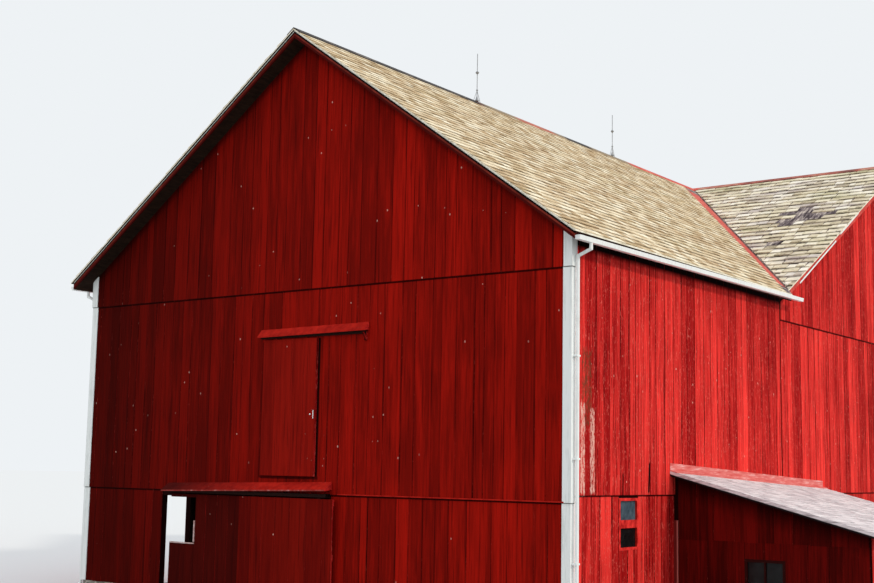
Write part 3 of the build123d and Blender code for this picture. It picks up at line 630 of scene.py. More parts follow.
def trim_paint():
    """Barn red brushed on planed trim: even, a little glossier, and scuffed in small spots; painted sunlight
    brightens its faces turned to +X, and painted shade darkens it on the shed and at the lower hood's left
    end.
    """
    material, tree, place = new_material("barn_red_paint_on_trim")
    look = bpy.context.scene.barn_colours
    at, faces = axes(tree)
    brushed = fade(blotches(place, 0.12, 4.0), 0.3, 0.7)
    # Painted shade darkens the hood over the lower doors towards its left end
    painted_shade_left_end = fade(at["X"], -0.7, -3.2) * (at["Z"] < 3.0) * (at["Y"] < FRONT + 0.05) * 0.88
    scuffs = fade(blotches(place, 0.05, 4.0, 0.7), 0.68, 0.74) * 0.5
    # Faces turned to +X take the sides' painted sunlight, and trim out on the shed takes painted shade
    colour = coats(
        tree, "#99130b", (brushed, "#c22418"),
        (faces["X"] > 0.5, coats(tree, look.painted_sunlit_side_dark, (brushed, look.painted_sunlit_side_light))),
        (at["X"] > HALF_WIDTH + 0.1, "#2c0907"), (painted_shade_left_end, "#2a0504"), (scuffs, look.undercoat),
    )
    return finish(material, colour, 0.7, brushed, 0.002, 0.06)


def rake_paint():
    """Rake boards weathered to dull brown red at the front, brighter red on the cross roof.

    The front's are pale at their top edge, then black with painted shade, and dark red with painted shade
    along their foot."""
    material, tree, place = new_material("weathered_red_paint_on_rake_boards")
    at = add(tree, "ShaderNodeSeparateXYZ", {"Vector": place})
    worn = fade(blotches(place, 0.25, 4.0, 0.65), 0.3, 0.7)
    under = RIDGE_HEIGHT - abs(at["X"]) * MAIN_SLOPE - at["Z"]
    # The black band and the dark red band along the foot are painted shade
    dull = coats(tree, "#54160f", (worn, "#94382b"), (fade(under, 0.094, 0.086), "#100504"),
                 (fade(under, 0.054, 0.048), "#fffdf4"), (fade(under, 0.122, 0.132), "#4a0906"))
    colour = coats(tree, dull, (at["Y"] > SEAM, coats(tree, "#b52b26", (worn, "#e2675c"))))
    return finish(material, colour, 0.8, worn, 0.003, 0.06)


def white_trim_paint():
    """White oil paint on boards: chalked, faintly green, with grey dirt runs; the shed's post is red, with
    painted sunlight along its outer edge.
    """
    material, tree, place = new_material("white_paint_on_trim")
    at = add(tree, "ShaderNodeSeparateXYZ", {"Vector": place})
    dirt = fade(blotches(place, (0.06, 0.06, 0.55), 4.0, 0.65), 0.5, 0.85)
    # The corner boards are pieced where the wall boards lap
    high, low = (band(at["Z"], joint - 0.012, joint, 0.006) for joint in (GABLE_JOINT, FRONT_JOINT))
    # The shed's post has a lighter strip of painted sunlight along its outer edge
    post = (at["Y"] > SHED_FRONT - 0.3) * (at["Y"] < SHED_FRONT + 0.7) * (at["X"] > HALF_WIDTH - 0.1)
    colour = coats(tree, bpy.context.scene.barn_colours.white, (dirt * 0.5, "#8e9b93"),
                   ((high | low) * 0.7, "#3f4440"),
                   (post, coats(tree, "#6d1511", (fade(at["X"], 6.165, 6.175), "#b8625a"))))
    return finish(material, colour, 0.62, dirt, 0.002, 0.2)


def white_sheet():
    """Gutters and pipes of enamelled steel sheet: smooth and white, with faint rain streaks."""
    material, tree, place = new_material("white_enamel_on_steel_sheet")
    streak = fade(blotches(place, (0.06, 0.06, 0.3), 4.0, 0.6), 0.5, 0.9)
    colour = coats(tree, bpy.context.scene.barn_colours.white, (streak * 0.45, "#a8a89d"))
    return finish(material, colour, 0.38, streak, 0.001, 0.3)


def ridge_and_valley_sheet():
    """Painted steel on ridges and valleys: bleached red, sooty on the front ridge, and dark with painted
    shade in the crease.
    """
    material, tree, place = new_material("bleached_red_paint_on_steel_sheet")
    at = add(tree, "ShaderNodeSeparateXYZ", {"Vector": place})
    bleach = blotches(place, 0.35, 4.0)
    red = add(tree, "ShaderNodeValToRGB", {"Fac": bleach},
              stops=[(0.3, "#b3382b"), (0.6, "#cf5546"), (0.75, "#da7863")])
    old = add(tree, "ShaderNodeValToRGB", {"Fac": blotches(place, (0.3, 0.7, 0.3), 4.0, 0.65)},
              stops=[(0.3, "#1d1512"), (0.55, "#2d211c"), (0.75, "#8f8478")])
    lengths = add(tree, "ShaderNodeValToRGB", {"Fac": blotches(place, (0.8, 0.4, 0.3), 4.0, 0.65)},
                  stops=[(0.36, "#4f3027"), (0.5, "#a9584b"), (0.66, "#c8a68d")])
    # Painted shade darkens the valley's crease
    from_valley = CROSS_RIDGE - abs(at["X"]) * VALLEY_RATIO - at["Y"]
    crease = fade(from_valley, 0.11, 0.05) * (at["Z"] < 10.9) * 0.85
    # Along the main ridge sooty, tan and red lengths follow one another, and only its far end is all red
    high = at["Z"] > 11.0
    main = high * (abs(at["X"]) < 0.4)
    tan = main * band(at["Y"], -6.9, 0.1, 0.3) * (1.0 - band(at["Y"], -5.3, -3.9, 0.3) * 0.6)
    sooty = main * (fade(at["Y"], -6.6, -7.2) | band(at["Y"], -3.1, -2.0, 0.2))
    # The cross ridge is worn to brown and tan lengths between the red ones
    cross = high * (abs(at["X"]) > 0.25) * 0.85
    colour = coats(tree, red, (crease, "#3b0f0b"), (tan, "#8b7a62"), (sooty, old), (cross, lengths))
    return finish(material, colour, 0.6, bleach, 0.01, 0.25)


def shingle_finish(name, stops, stain, moss, butt, course, contrast, shadow):
    """Split or sawn shingles: each its own tone, a dark broken line of painted shadow along the butts, and
    long stains.

    course is the size of a stain in X, Y and Z, long along the courses; the painted shadow under the next
    course's butts begins at shadow, a share of the shingle's length, in the colour butt. It is drawn a
    little wide, to show."""
    material, tree, place = new_material(name)
    tone, along = (
        add(tree, "ShaderNodeAttribute", attribute_name=kept)["Fac"] for kept in ("tone", "along"))
    grain = blotches(place, 0.04, 4.0, 0.65)
    shade = tone * 0.3 + grain * 0.35 + blotches(place, course, 4.0, 0.6) * 0.4
    patch = blotches(place, tuple(4.5 * s for s in course), 4.0, 0.65)
    broken = blotches(place, tuple(0.9 * s for s in course), 3.0, 0.7)
    # The line is painted shadow under the next course's butts, broken along its length
    line = fade(along, shadow, shadow + 0.06) * (fade(broken, 0.4, 0.54) * 0.68 + 0.32)
    colour = coats(
        tree, add(tree, "ShaderNodeValToRGB", {"Fac": fade(shade, 0.27, 0.76)}, stops=stops),
        (fade(patch, 0.5, 0.7) * contrast, stain), (fade(patch, 0.46, 0.3) * contrast * 0.7, moss),
        (line, butt),
    )
    return finish(material, colour, 0.9, grain, 0.004, 0.05)


def front_roof_shingles():
    """Sawn cedar on the front block, weathered to straw and tan."""
    return shingle_finish(
        "weathered_cedar_shingles",
        [(0.1, "#a68c69"), (0.35, "#cdb794"), (0.6, "#e6d6b7"), (0.9, "#f7eed6")],
        "#ab8862", "#a99a6c", "#33230f", (0.1, 0.55, 0.1), 0.45, 0.68,
    )


def cross_roof_shingles():
    """Older cedar on the cross roof: rougher, patched with moss and mauve grey."""
    return shingle_finish(
        "mossy_cedar_shingles",
        [(0.1, "#9a8d78"), (0.35, "#d6caae"), (0.6, "#f0e7cf"), (0.9, "#fbf6ea")],
        "#a0929c", "#a9a679", "#2b2218", (0.45, 0.12, 0.12), 0.8, 0.68,
    )


def shed_roof_shingles():
    """Shed roofing bleached to silver grey with a pink cast, and streaked along its courses."""
    return shingle_finish(
        "silvered_shed_shingles",
        [(0.1, "#bab4b8"), (0.4, "#d8d3d6"), (0.7, "#e9e5e7"), (0.95, "#f3f0f1")],
        "#b3acb1", "#cbbdc1", "#7a7379", (0.08, 0.8, 0.08), 0.4, 0.8,
    )


def shed_roof_edge():
    """The shed roof's boards: silvered like its shingles at the top, and dark below with painted shade."""
    material, tree, place = new_material("silvered_shed_roof_boards_with_painted_shade")
    at = add(tree, "ShaderNodeSeparateXYZ", {"Vector": place})
    streaks = blotches(place, (0.3, 0.3, 0.03), 4.0, 0.65)
    pale = add(tree, "ShaderNodeValToRGB", {"Fac": streaks},
               stops=[(0.32, "#8d868a"), (0.5, "#d9d3d6"), (0.7, "#f2eff0")])
    # Below their top the boards are painted dark as shade
    fallen = (at["X"] - HALF_WIDTH) * SHED_SLOPE + (at["Y"] - SHED_FRONT) * SHED_FALL
    painted_shade_below = fade(SHED_TOP - fallen - at["Z"] + streaks * 0.02, 0.062, 0.07)
    return finish(material, coats(tree, pale, (painted_shade_below, "#1d1618")), 0.9, streaks, 0.003, 0.05)


def roof_boards():
    """The roof slab: straw shingle ends at its rim, red-brown boards below, dark sheathing where bare, and
    near black with painted shade on faces turned down.
    """
    material, tree, place = new_material("roof_sheathing_and_rafters")
    at, faces = axes(tree)
    grain = blotches(place, (0.05, 0.3, 0.05), 5.0, 0.65)
    streaks = blotches(place, (0.07, 0.5, 0.3), 5.0, 0.7)
    board, rim, bare, under = (
        add(tree, "ShaderNodeValToRGB", {"Fac": pattern}, stops=stops) for pattern, stops in (
            (grain, [(0.3, "#26100b"), (0.7, "#4b1d15")]),
            (grain, [(0.3, "#b3a588"), (0.5, "#f0e8d2"), (0.7, "#fffdf4")]),
            (streaks, [(0.38, "#2a2226"), (0.5, "#716569"), (0.62, "#cbbfb5")]),
            (grain, [(0.3, "#160c08"), (0.7, "#33241a")]),
        ))
    main = RIDGE_HEIGHT - abs(at["X"]) * MAIN_SLOPE
    cross = RIDGE_HEIGHT - abs(at["Y"] - CROSS_RIDGE) * CROSS_SLOPE
    depth = (cross | main - (at["Y"] > CROSS_RIDGE) * 40.0) - at["Z"]
    # Faces turned down are painted near black as shade
    colour = coats(tree, board, (fade(depth, 0.045, 0.03), rim), (faces["Z"] > 0.3, bare),
                   (faces["Z"] < -0.3, under))
    return finish(material, colour, 0.9, streaks, 0.006, 0.1)


def masonry():
    """Lime-washed fieldstone and a trodden concrete floor: pale grey, blotched and gritty."""
    material, tree, place = new_material("fieldstone_and_concrete")
    mapped = add(tree, "ShaderNodeMapping", {"Vector": place, "Scale": (3.2, 3.2, 5.0)})
    stones = add(tree, "ShaderNodeTexVoronoi", {"Vector": mapped, "Scale": 1.0}, feature="DISTANCE_TO_EDGE")
    stone = fade(stones, 0.02, 0.09)
    grey = add(tree, "ShaderNodeValToRGB", {"Fac": blotches(place, 0.25, 5.0)},
               stops=[(0.3, "#77716a"), (0.7, "#a8a299")])
    grit = blotches(place, 0.012)
    return finish(material, coats(tree, "#c6c0b4", (stone, grey)), 0.92, stone + grit * 0.3, 0.01, 0.15)


def window_glass():
    """Old sheet glass, dusty and wavy: grey-blue in the upper pane, and black in the lower pane, painted
    shade for the dark room behind it.
    """
    material, tree, place = new_material("dusty_window_glass")
    at = add(tree, "ShaderNodeSeparateXYZ", {"Vector": place})
    dust = blotches(place, 0.15, 4.0)
    # The lower pane is painted near black as shade for the dark room behind it
    lower, upper = (add(tree, "ShaderNodeValToRGB", {"Fac": dust}, stops=[(0.3, dark), (0.7, light)])
                    for dark, light in (("#0c0d0e", "#1b1d1e"), ("#35444f", "#566873")))
    wave = blotches(place, 0.2, 2.0)
    return finish(material, coats(tree, lower, (at["Z"] > 1.9, upper)), 0.2, wave, 0.004, 0.14, IOR=1.52)


def grained(name, size, detail, ragged, stops, roughness, depth, specular=0.5, **sockets):
    """A finish that one soft grain colours and roughens."""
    material, tree, place = new_material(name)
    grain = blotches(place, size, detail, ragged)
    colour = add(tree, "ShaderNodeValToRGB", {"Fac": grain}, stops=stops)
    return finish(material, colour, roughness, grain, depth, specular, **sockets)


def hood_lip_paint():
    """Red paint on the hood's lip, rubbed through to the pale undercoat."""
    return grained("rubbed_red_paint_on_hood_lip", 0.12, 4.0, 0.7,
                   [(0.35, "#8a1c15"), (0.55, "#9c3e37"), (0.72, "#c98a85")], 0.7, 0.001, 0.15)


def hatch_edge_paint():
    """Red paint on the hatch's edges, rubbed almost all the way to the pale undercoat."""
    return grained("rubbed_red_paint_on_hatch_edge", 0.12, 4.0, 0.7,
                   [(0.3, "#99655f"), (0.5, "#c6a5a1"), (0.7, "#e6d6d5")], 0.7, 0.001, 0.15)


def flashing_sheet():
    """The steel strip over the shed roof: red paint bleached to salmon pink, in blotches along it."""
    return grained("salmon_paint_on_steel_sheet", (0.12, 0.4, 0.05), 5.0, 0.65,
                   [(0.3, "#cb4a44"), (0.55, "#dd7b75"), (0.75, "#efcdc9")], 0.6, 0.004, 0.2)


def old_timber():
    """Sawn spruce gone brown indoors: matt, with blotched grain."""
    return grained("old_sawn_spruce", 0.12, 5.0, 0.6,
                   [(0.3, "#57432f"), (0.7, "#8c7152")], 0.85, 0.004, 0.15)


def rusty_iron_with_painted_shade():
    """Rolled steel track and forged fittings: brown rust over dark scale, darkened further with painted
    shade.
    """
    return grained("rusted_steel_with_painted_shade", 0.03, 5.0, 0.55, [(0.35, "#150a08"), (0.65, "#2e140e")], 0.85, 0.001, 0.1)


def galvanised_rod():
    """Zinc-coated steel rod: dull mid grey, spangled."""
    return grained("galvanised_steel", (0.02, 0.02, 0.05), 4.0, 0.7,
                   [(0.35, "#7c7e82"), (0.65, "#aeb0b3")], 0.5, 0.0005, Metallic=0.5)


# Properties
def length(name, description, default):
    return bpy.props.FloatProperty(name=name, description=description, default=default, unit="LENGTH")


def paint_colour(name, description, code):
    return bpy.props.FloatVectorProperty(
        name=name, description=description, subtype="COLOR", size=4, min=0.0, max=1.0, default=linear(code))


class BarnSizes(bpy.types.PropertyGroup):
    board_width: length("Board width", "Mean width of a wall board", 0.3)
    board_spread: length("Board spread", "How far a board's width strays from the mean", 0.12)
    board_gap: length("Board gap", "Scale of the gaps between boards", 0.007)
    board_thickness: length("Board thickness", "How far a board stands out of its wall", 0.012)
    main_exposure: length("Main course", "Height of a shingle course on the front block, up the slope", 0.2)
    cross_exposure: length("Cross course", "Height of a shingle course on the cross roof, up the slope", 0.3)
    shingle_width: length("Shingle width", "Mean width of a shingle", 0.24)
    butt: length("Butt thickness", "Thickness of a shingle's lower end", 0.016)


class BarnColours(bpy.types.PropertyGroup):
    front_dark: paint_colour("Front, dark", "The darkest boards of the front", "#790d06")
    front_light: paint_colour("Front, light", "The lightest boards of the front", "#ad160b")
    # The sides' colours are painted sunlight: brighter than the front's red
    painted_sunlit_side_dark: paint_colour("Sides, dark", "The darkest boards of the side walls", "#9a1112")
    painted_sunlit_side_light: paint_colour("Sides, light", "The lightest boards of the side walls", "#f63d37")
    white: paint_colour("White", "Corner boards, gutters and pipes", "#f3f7f6")
    undercoat: paint_colour("Undercoat", "Pale undercoat that shows where the paint has flaked", "#efbcad")


# Pieces
def boards(x, y, z, turn, run, top, seed, changes=()):
    """Upright boards from a lower corner to their top; they face -Y before the turn, in degrees."""
    sizes = bpy.context.scene.barn_sizes
    values = {
        "Run": run, "Height": top - z, "Board Width": sizes.board_width,
        "Width Spread": sizes.board_spread, "Gap": sizes.board_gap, "Thickness": sizes.board_thickness,
        "Ragged End": 0.010, "Twist": 0.008, "Seed": seed, "Material": once(board_paint), **dict(changes),
    }
    matrix = Matrix.Translation((x, y, z)) @ Matrix.Rotation(math.radians(turn), 4, "Z")
    return grow(f"boards_{seed}", once(board_tree), values, matrix)


def stretch(turn, first_seed, stretches, changes=()):
    """Several stretches of boards, each given by its lower corner, its run and its top."""
    return [boards(x, y, z, turn, run, top, first_seed + number, changes)
            for number, (x, y, z, run, top) in enumerate(stretches)]


def main_under(x):
    """Height of the main roof's underside at a place across the barn."""
    return RIDGE_HEIGHT - MAIN_SLOPE * abs(x) - ROOF_DEPTH


def cross_under(y):
    """Height of the cross roof's underside at a place along the barn."""
    return RIDGE_HEIGHT - CROSS_SLOPE * abs(y - CROSS_RIDGE) - ROOF_DEPTH


def shed_roof_at(x, y):
    """Height of the shed roof's top."""
    return SHED_TOP - SHED_SLOPE * (x - HALF_WIDTH) - SHED_FALL * (y - SHED_FRONT)


def shed_under(x, y):
    """Height of the shed roof's underside."""
    return shed_roof_at(x, y) - SHED_ROOF_DEPTH


class BARN_OT_front_boards(bpy.types.Operator):
    """Boards of the front gable wall, in three laps"""
    bl_idname = "barn.front_boards"
    bl_label = "Front boards"

    def execute(self, context):
        low, high = FRONT, FRONT - BOARD_LAP
        panel_end = OLD_PANEL_END + 0.02
        # The short boards over and under the upper door reach a little behind their neighbours
        filler, filler_run = UPPER_OPENING - 0.008, UPPER_GAP_END - UPPER_OPENING + 0.016
        stretches = [
            (-HALF_WIDTH, low, FOUNDATION_TOP, DOORWAY[0] + HALF_WIDTH, FRONT_JOINT),
            (DOORWAY[1], low, FOUNDATION_TOP, OLD_PANEL_END - DOORWAY[1], FRONT_JOINT),
            (panel_end, low, FOUNDATION_TOP, HALF_WIDTH - panel_end, FRONT_JOINT),
            (-HALF_WIDTH, high, FRONT_JOINT, UPPER_OPENING + HALF_WIDTH, GABLE_JOINT),
            (UPPER_GAP_END, high, FRONT_JOINT, HALF_WIDTH - UPPER_GAP_END, GABLE_JOINT),
            (filler, high, UPPER_DOOR_HIGH, filler_run, GABLE_JOINT),
            (filler, high, FRONT_JOINT, filler_run, UPPER_DOOR_LOW),
        ]
        parts = stretch(0, 20, stretches, {"Gap": 0.006})
        gable = {"Peak": main_under(0) - GABLE_JOINT, "Slope": MAIN_SLOPE, "Apex": HALF_WIDTH, "Gap": 0.005}
        parts.append(boards(-HALF_WIDTH, FRONT - 2 * BOARD_LAP, GABLE_JOINT, 0, 2 * HALF_WIDTH,
                            main_under(0), 31, gable))
        hand_over("front_boards", parts)
        return {"FINISHED"}


class BARN_OT_side_boards(bpy.types.Operator):
    """Boards of the front block's side walls"""
    bl_idname = "barn.side_boards"
    bl_label = "Side boards"

    def execute(self, context):
        top = main_under(HALF_WIDTH + BOARD_LAP)
        (near, far), lap = SIDE_WINDOW, HALF_WIDTH + BOARD_LAP
        hand_over("right_side_boards", stretch(90, 40, [
            (HALF_WIDTH, FRONT, FOUNDATION_TOP, near - FRONT, SIDE_JOINT),
            (HALF_WIDTH, near, FOUNDATION_TOP, far - near, SIDE_WINDOW_SILL),
            (HALF_WIDTH, far, FOUNDATION_TOP, SEAM - far, SIDE_JOINT),
            (lap, FRONT, SIDE_JOINT, SEAM - FRONT, top),
        ]))
        near, far = SIDE_DOOR
        hand_over("left_side_boards", stretch(-90, 50, [
            (-HALF_WIDTH, SEAM, FOUNDATION_TOP, SEAM - far, SIDE_JOINT),
            (-HALF_WIDTH, far, SIDE_DOOR_HEAD, far - near, SIDE_JOINT),
            (-HALF_WIDTH, near, FOUNDATION_TOP, near - FRONT, SIDE_JOINT),
            (-lap, SEAM, SIDE_JOINT, SEAM - FRONT, top),
        ]))
        return {"FINISHED"}


class BARN_OT_wing_boards(bpy.types.Operator):
    """Boards of the cross block: its two gable walls and the rear wall"""
    bl_idname = "barn.wing_boards"
    bl_label = "Wing boards"

    def execute(self, context):
        near, peak = SEAM + SEAM_GAP, cross_under(CROSS_RIDGE)
        for side, name, start, apex in (
            (1, "right_wing_boards", near, CROSS_RIDGE - near),
            (-1, "left_wing_boards", REAR, REAR - CROSS_RIDGE),
        ):
            gable = {"Peak": peak - GABLE_JOINT, "Slope": CROSS_SLOPE, "Apex": apex}
            first, turn, run = 60 + 5 * side, 90 * side, REAR - near
            bands = [(FOUNDATION_TOP, SIDE_JOINT, first, {}), (SIDE_JOINT, GABLE_JOINT, first + 1, {}),
                     (GABLE_JOINT, peak, 72 + side, gable)]
            hand_over(name, [
                boards(side * (HALF_WIDTH + lap * BOARD_LAP), start, z, turn, run, top, seed, changes)
                for lap, (z, top, seed, changes) in enumerate(bands)
            ])
        hand_over("rear_boards", stretch(180, 80, [
            (HALF_WIDTH, REAR, FOUNDATION_TOP, 2 * HALF_WIDTH, SIDE_JOINT),
            (HALF_WIDTH, REAR + BOARD_LAP, SIDE_JOINT, 2 * HALF_WIDTH, cross_under(REAR + BOARD_LAP)),
        ]))
        return {"FINISHED"}


class BARN_OT_shed_boards(bpy.types.Operator):
    """Boards of the lean-to shed"""
    bl_idname = "barn.shed_boards"
    bl_label = "Shed boards"

    def execute(self, context):
        near, (left, right) = HALF_WIDTH + 0.03, SHED_WINDOW
        even = {"Ragged End": 0.0}
        stretches = [
            (near, SHED_FRONT, 0.0, left - near, SHED_JOINT),
            (left, SHED_FRONT, 0.0, right - left, SHED_WINDOW_LOW),
            (left, SHED_FRONT, SHED_WINDOW_HIGH, right - left, SHED_JOINT),
            (right, SHED_FRONT, 0.0, SHED_OUTER - right, SHED_JOINT),
        ]
        parts = stretch(0, 90, stretches, even)
        post_end = HALF_WIDTH + SHED_POST_WIDTH
        top = shed_under(post_end, SHED_FRONT)
        parts.append(boards(post_end, SHED_FRONT - 0.006, SHED_JOINT, 0, SHED_OUTER - post_end, top, 96,
                            {"Peak": top - SHED_JOINT, "Slope": SHED_SLOPE, "Ragged End": 0.02}))
        top = shed_under(SHED_OUTER, SHED_FRONT)
        parts.append(boards(SHED_OUTER, SHED_FRONT, 0.0, 90, SHED_REAR - SHED_FRONT, top, 97,
                            {"Peak": top, "Slope": SHED_FALL, **even}))
        top, run = shed_under(near, SHED_REAR), SHED_OUTER - near
        parts.append(boards(SHED_OUTER, SHED_REAR, 0.0, 180, run, top, 98,
                            {"Peak": top, "Slope": SHED_SLOPE, "Apex": run, **even}))
        hand_over("shed_boards", parts)
        return {"FINISHED"}


def slope_matrix(origin, along, up_slope):
    """Local X along the eave, local Y up the slope, local Z out of the roof."""
    e, s = Vector(along).normalized(), Vector(up_slope).normalized()
    made = Matrix((e, s, e.cross(s).normalized())).transposed().to_4x4()
    made.translation = Vector(origin)
    return made


def shingles(name, matrix, run, rise, material, seed, changes):
    """Courses of shingles over one slope, from its lower edge up."""
    sizes = bpy.context.scene.barn_sizes
    values = {
        "Run": run, "Rise": rise, "Exposure": sizes.main_exposure, "Shingle Width": sizes.shingle_width,
        "Width Spread": 0.09, "Butt Thickness": sizes.butt, "Gap": 0.008, "Unevenness": 0.005,
        "Right Start": run, "Seed": seed, "Material": once(material), **changes,
    }
    hand_over(name, [grow(name, once(shingle_tree), values, matrix)])


# The caps on the ridges cover this much of a slope's top
RIDGE_CAP = 0.15


class BARN_OT_main_shingles(bpy.types.Operator):
    """Shingles on both slopes of the front block, up to the valley strip"""
    bl_idname = "barn.main_shingles"
    bl_label = "Main roof shingles"

    def execute(self, context):
        edge = HALF_WIDTH + EAVE_OVERHANG
        front = FRONT - FRONT_OVERHANG
        rise = math.hypot(edge, MAIN_SLOPE * edge)
        # The valley strip narrows evenly from its top to its foot
        top, foot = (0.59, 0.42), (6.19, 0.22)
        narrowing = (foot[1] - top[1]) / (foot[0] - top[0])
        strip_at_edge = foot[1] + narrowing * (edge - foot[0])
        skew = math.hypot(1, VALLEY_RATIO)
        reach = CROSS_RIDGE - VALLEY_RATIO * edge - front - strip_at_edge * skew
        lean = (VALLEY_RATIO + narrowing * skew) * (edge / rise)
        run = CROSS_RIDGE - front
        low = RIDGE_HEIGHT - MAIN_SLOPE * edge
        for name, side, start, seed, edges in (
            ("main_shingles_right", 1, front, 101, {"Right Start": reach, "Right Lean": lean}),
            ("main_shingles_left", -1, front + run, 102, {"Left Start": run - reach, "Left Lean": -lean}),
        ):
            matrix = slope_matrix((side * edge, start, low), (0, side, 0), (-side, 0, MAIN_SLOPE))
            shingles(name, matrix, run, rise - RIDGE_CAP, front_roof_shingles, seed, edges)
        return {"FINISHED"}


class BARN_OT_wing_shingles(bpy.types.Operator):
    """Shingles on the three slopes of the cross roof, torn off in places"""
    bl_idname = "barn.wing_shingles"
    bl_label = "Cross roof shingles"

    def execute(self, context):
        edge = HALF_WIDTH + CROSS_OVERHANG
        drop = VALLEY_RATIO * edge
        y_low = CROSS_RIDGE - drop
        rise = math.hypot(drop, CROSS_SLOPE * drop)
        level = drop / rise
        low = RIDGE_HEIGHT - CROSS_SLOPE * drop
        rough = {
            "Exposure": context.scene.barn_sizes.cross_exposure, "Unevenness": 0.04,
            "Shingle Width": 0.3, "Width Spread": 0.13, "Butt Thickness": 0.026, "Gap": 0.022,
        }
        # Where the shingles are torn off the right front slope: X, Y and radius
        torn = ((4.55, 1.15, 0.3), (5.0, 0.8, 0.36), (4.5, 0.55, 0.22), (4.63, -0.85, 0.12))
        patches = {label: (x, (y - y_low) / level, radius) for label, (x, y, radius) in zip(PATCHES, torn)}
        lean = level / VALLEY_RATIO
        for name, x, seed, edges in (
            ("wing_shingles_front_right", 0, 111, {
                "Left Start": edge + 0.03, "Left Lean": -lean, "Right Start": edge, "Patch Stretch": 1.5,
                **patches}),
            ("wing_shingles_front_left", -edge, 112, {"Right Start": -0.03, "Right Lean": lean}),
        ):
            matrix = slope_matrix((x, y_low, low), (1, 0, 0), (0, 1, CROSS_SLOPE))
            shingles(name, matrix, edge + 0.3, rise - RIDGE_CAP, cross_roof_shingles, seed,
                     {**edges, **rough})
        far = REAR + EAVE_OVERHANG
        drop = far - CROSS_RIDGE
        rise = math.hypot(drop, CROSS_SLOPE * drop)
        low = RIDGE_HEIGHT - CROSS_SLOPE * drop
        matrix = slope_matrix((edge, far, low), (-1, 0, 0), (0, -1, CROSS_SLOPE))
        shingles("wing_shingles_rear", matrix, 2 * edge, rise - RIDGE_CAP, cross_roof_shingles,
                 113, rough)
        return {"FINISHED"}


class BARN_OT_shed_shingles(bpy.types.Operator):
    """Thin silvered shingles on the shed roof"""
    bl_idname = "barn.shed_shingles"
    bl_label = "Shed roof shingles"

    def execute(self, context):
        high, low = HALF_WIDTH + 0.14, SHED_OUTER + 0.255
        start, end = SHED_FRONT - 0.2, SHED_REAR + 0.2
        rise = math.hypot(low - high, SHED_SLOPE * (low - high))
        matrix = slope_matrix(
            (low, start, shed_roof_at(low, start)), (0, 1, -SHED_FALL), (-1, 0, SHED_SLOPE))
        shingles("shed_roof_shingles", matrix, end - start, rise, shed_roof_shingles, 121,
                 {"Butt Thickness": 0.009, "Exposure": 0.16, "Unevenness": 0.009})
        return {"FINISHED"}


class BARN_OT_door_boards(bpy.types.Operator):
    """Boards of the lower leaves and of the upper door"""
    bl_idname = "barn.door_boards"
    bl_label = "Door boards"

    def execute(self, context):
        wide = {"Board Width": 0.36, "Width Spread": 0.08, "Thickness": 0.008, "Gap": 0.005,
                "Ragged End": 0.0, "Twist": 0.004}
        right, left, upper = ({**wide, "Material": once(maker)}
                              for maker in (door_paint, left_leaf_paint_with_painted_shade, upper_door_paint))
        hand_over("right_leaf_boards", [
            boards(RIGHT_LEAF, RIGHT_LEAF_FACE, LEAF_LOW, 0, LEAF_WIDTH, LEAF_HIGH, 131, right),
        ], "right_leaf")
        hand_over("left_leaf_boards", [
            boards(LEFT_LEAF, LEFT_LEAF_FACE, LEAF_LOW, 0, HATCH_WIDTH, HATCH_SILL, 132, left),
            boards(LEFT_LEAF + HATCH_WIDTH, LEFT_LEAF_FACE, LEAF_LOW, 0, LEAF_WIDTH - HATCH_WIDTH, LEAF_HIGH,
                   133, left),
        ], "left_leaf")
        hand_over("upper_door_boards", [
            boards(UPPER_DOOR[0], UPPER_DOOR_FACE, UPPER_DOOR_LOW, 0, UPPER_DOOR[1] - UPPER_DOOR[0],
                   UPPER_DOOR_HIGH, 134, upper),
        ], "barn")
        return {"FINISHED"}


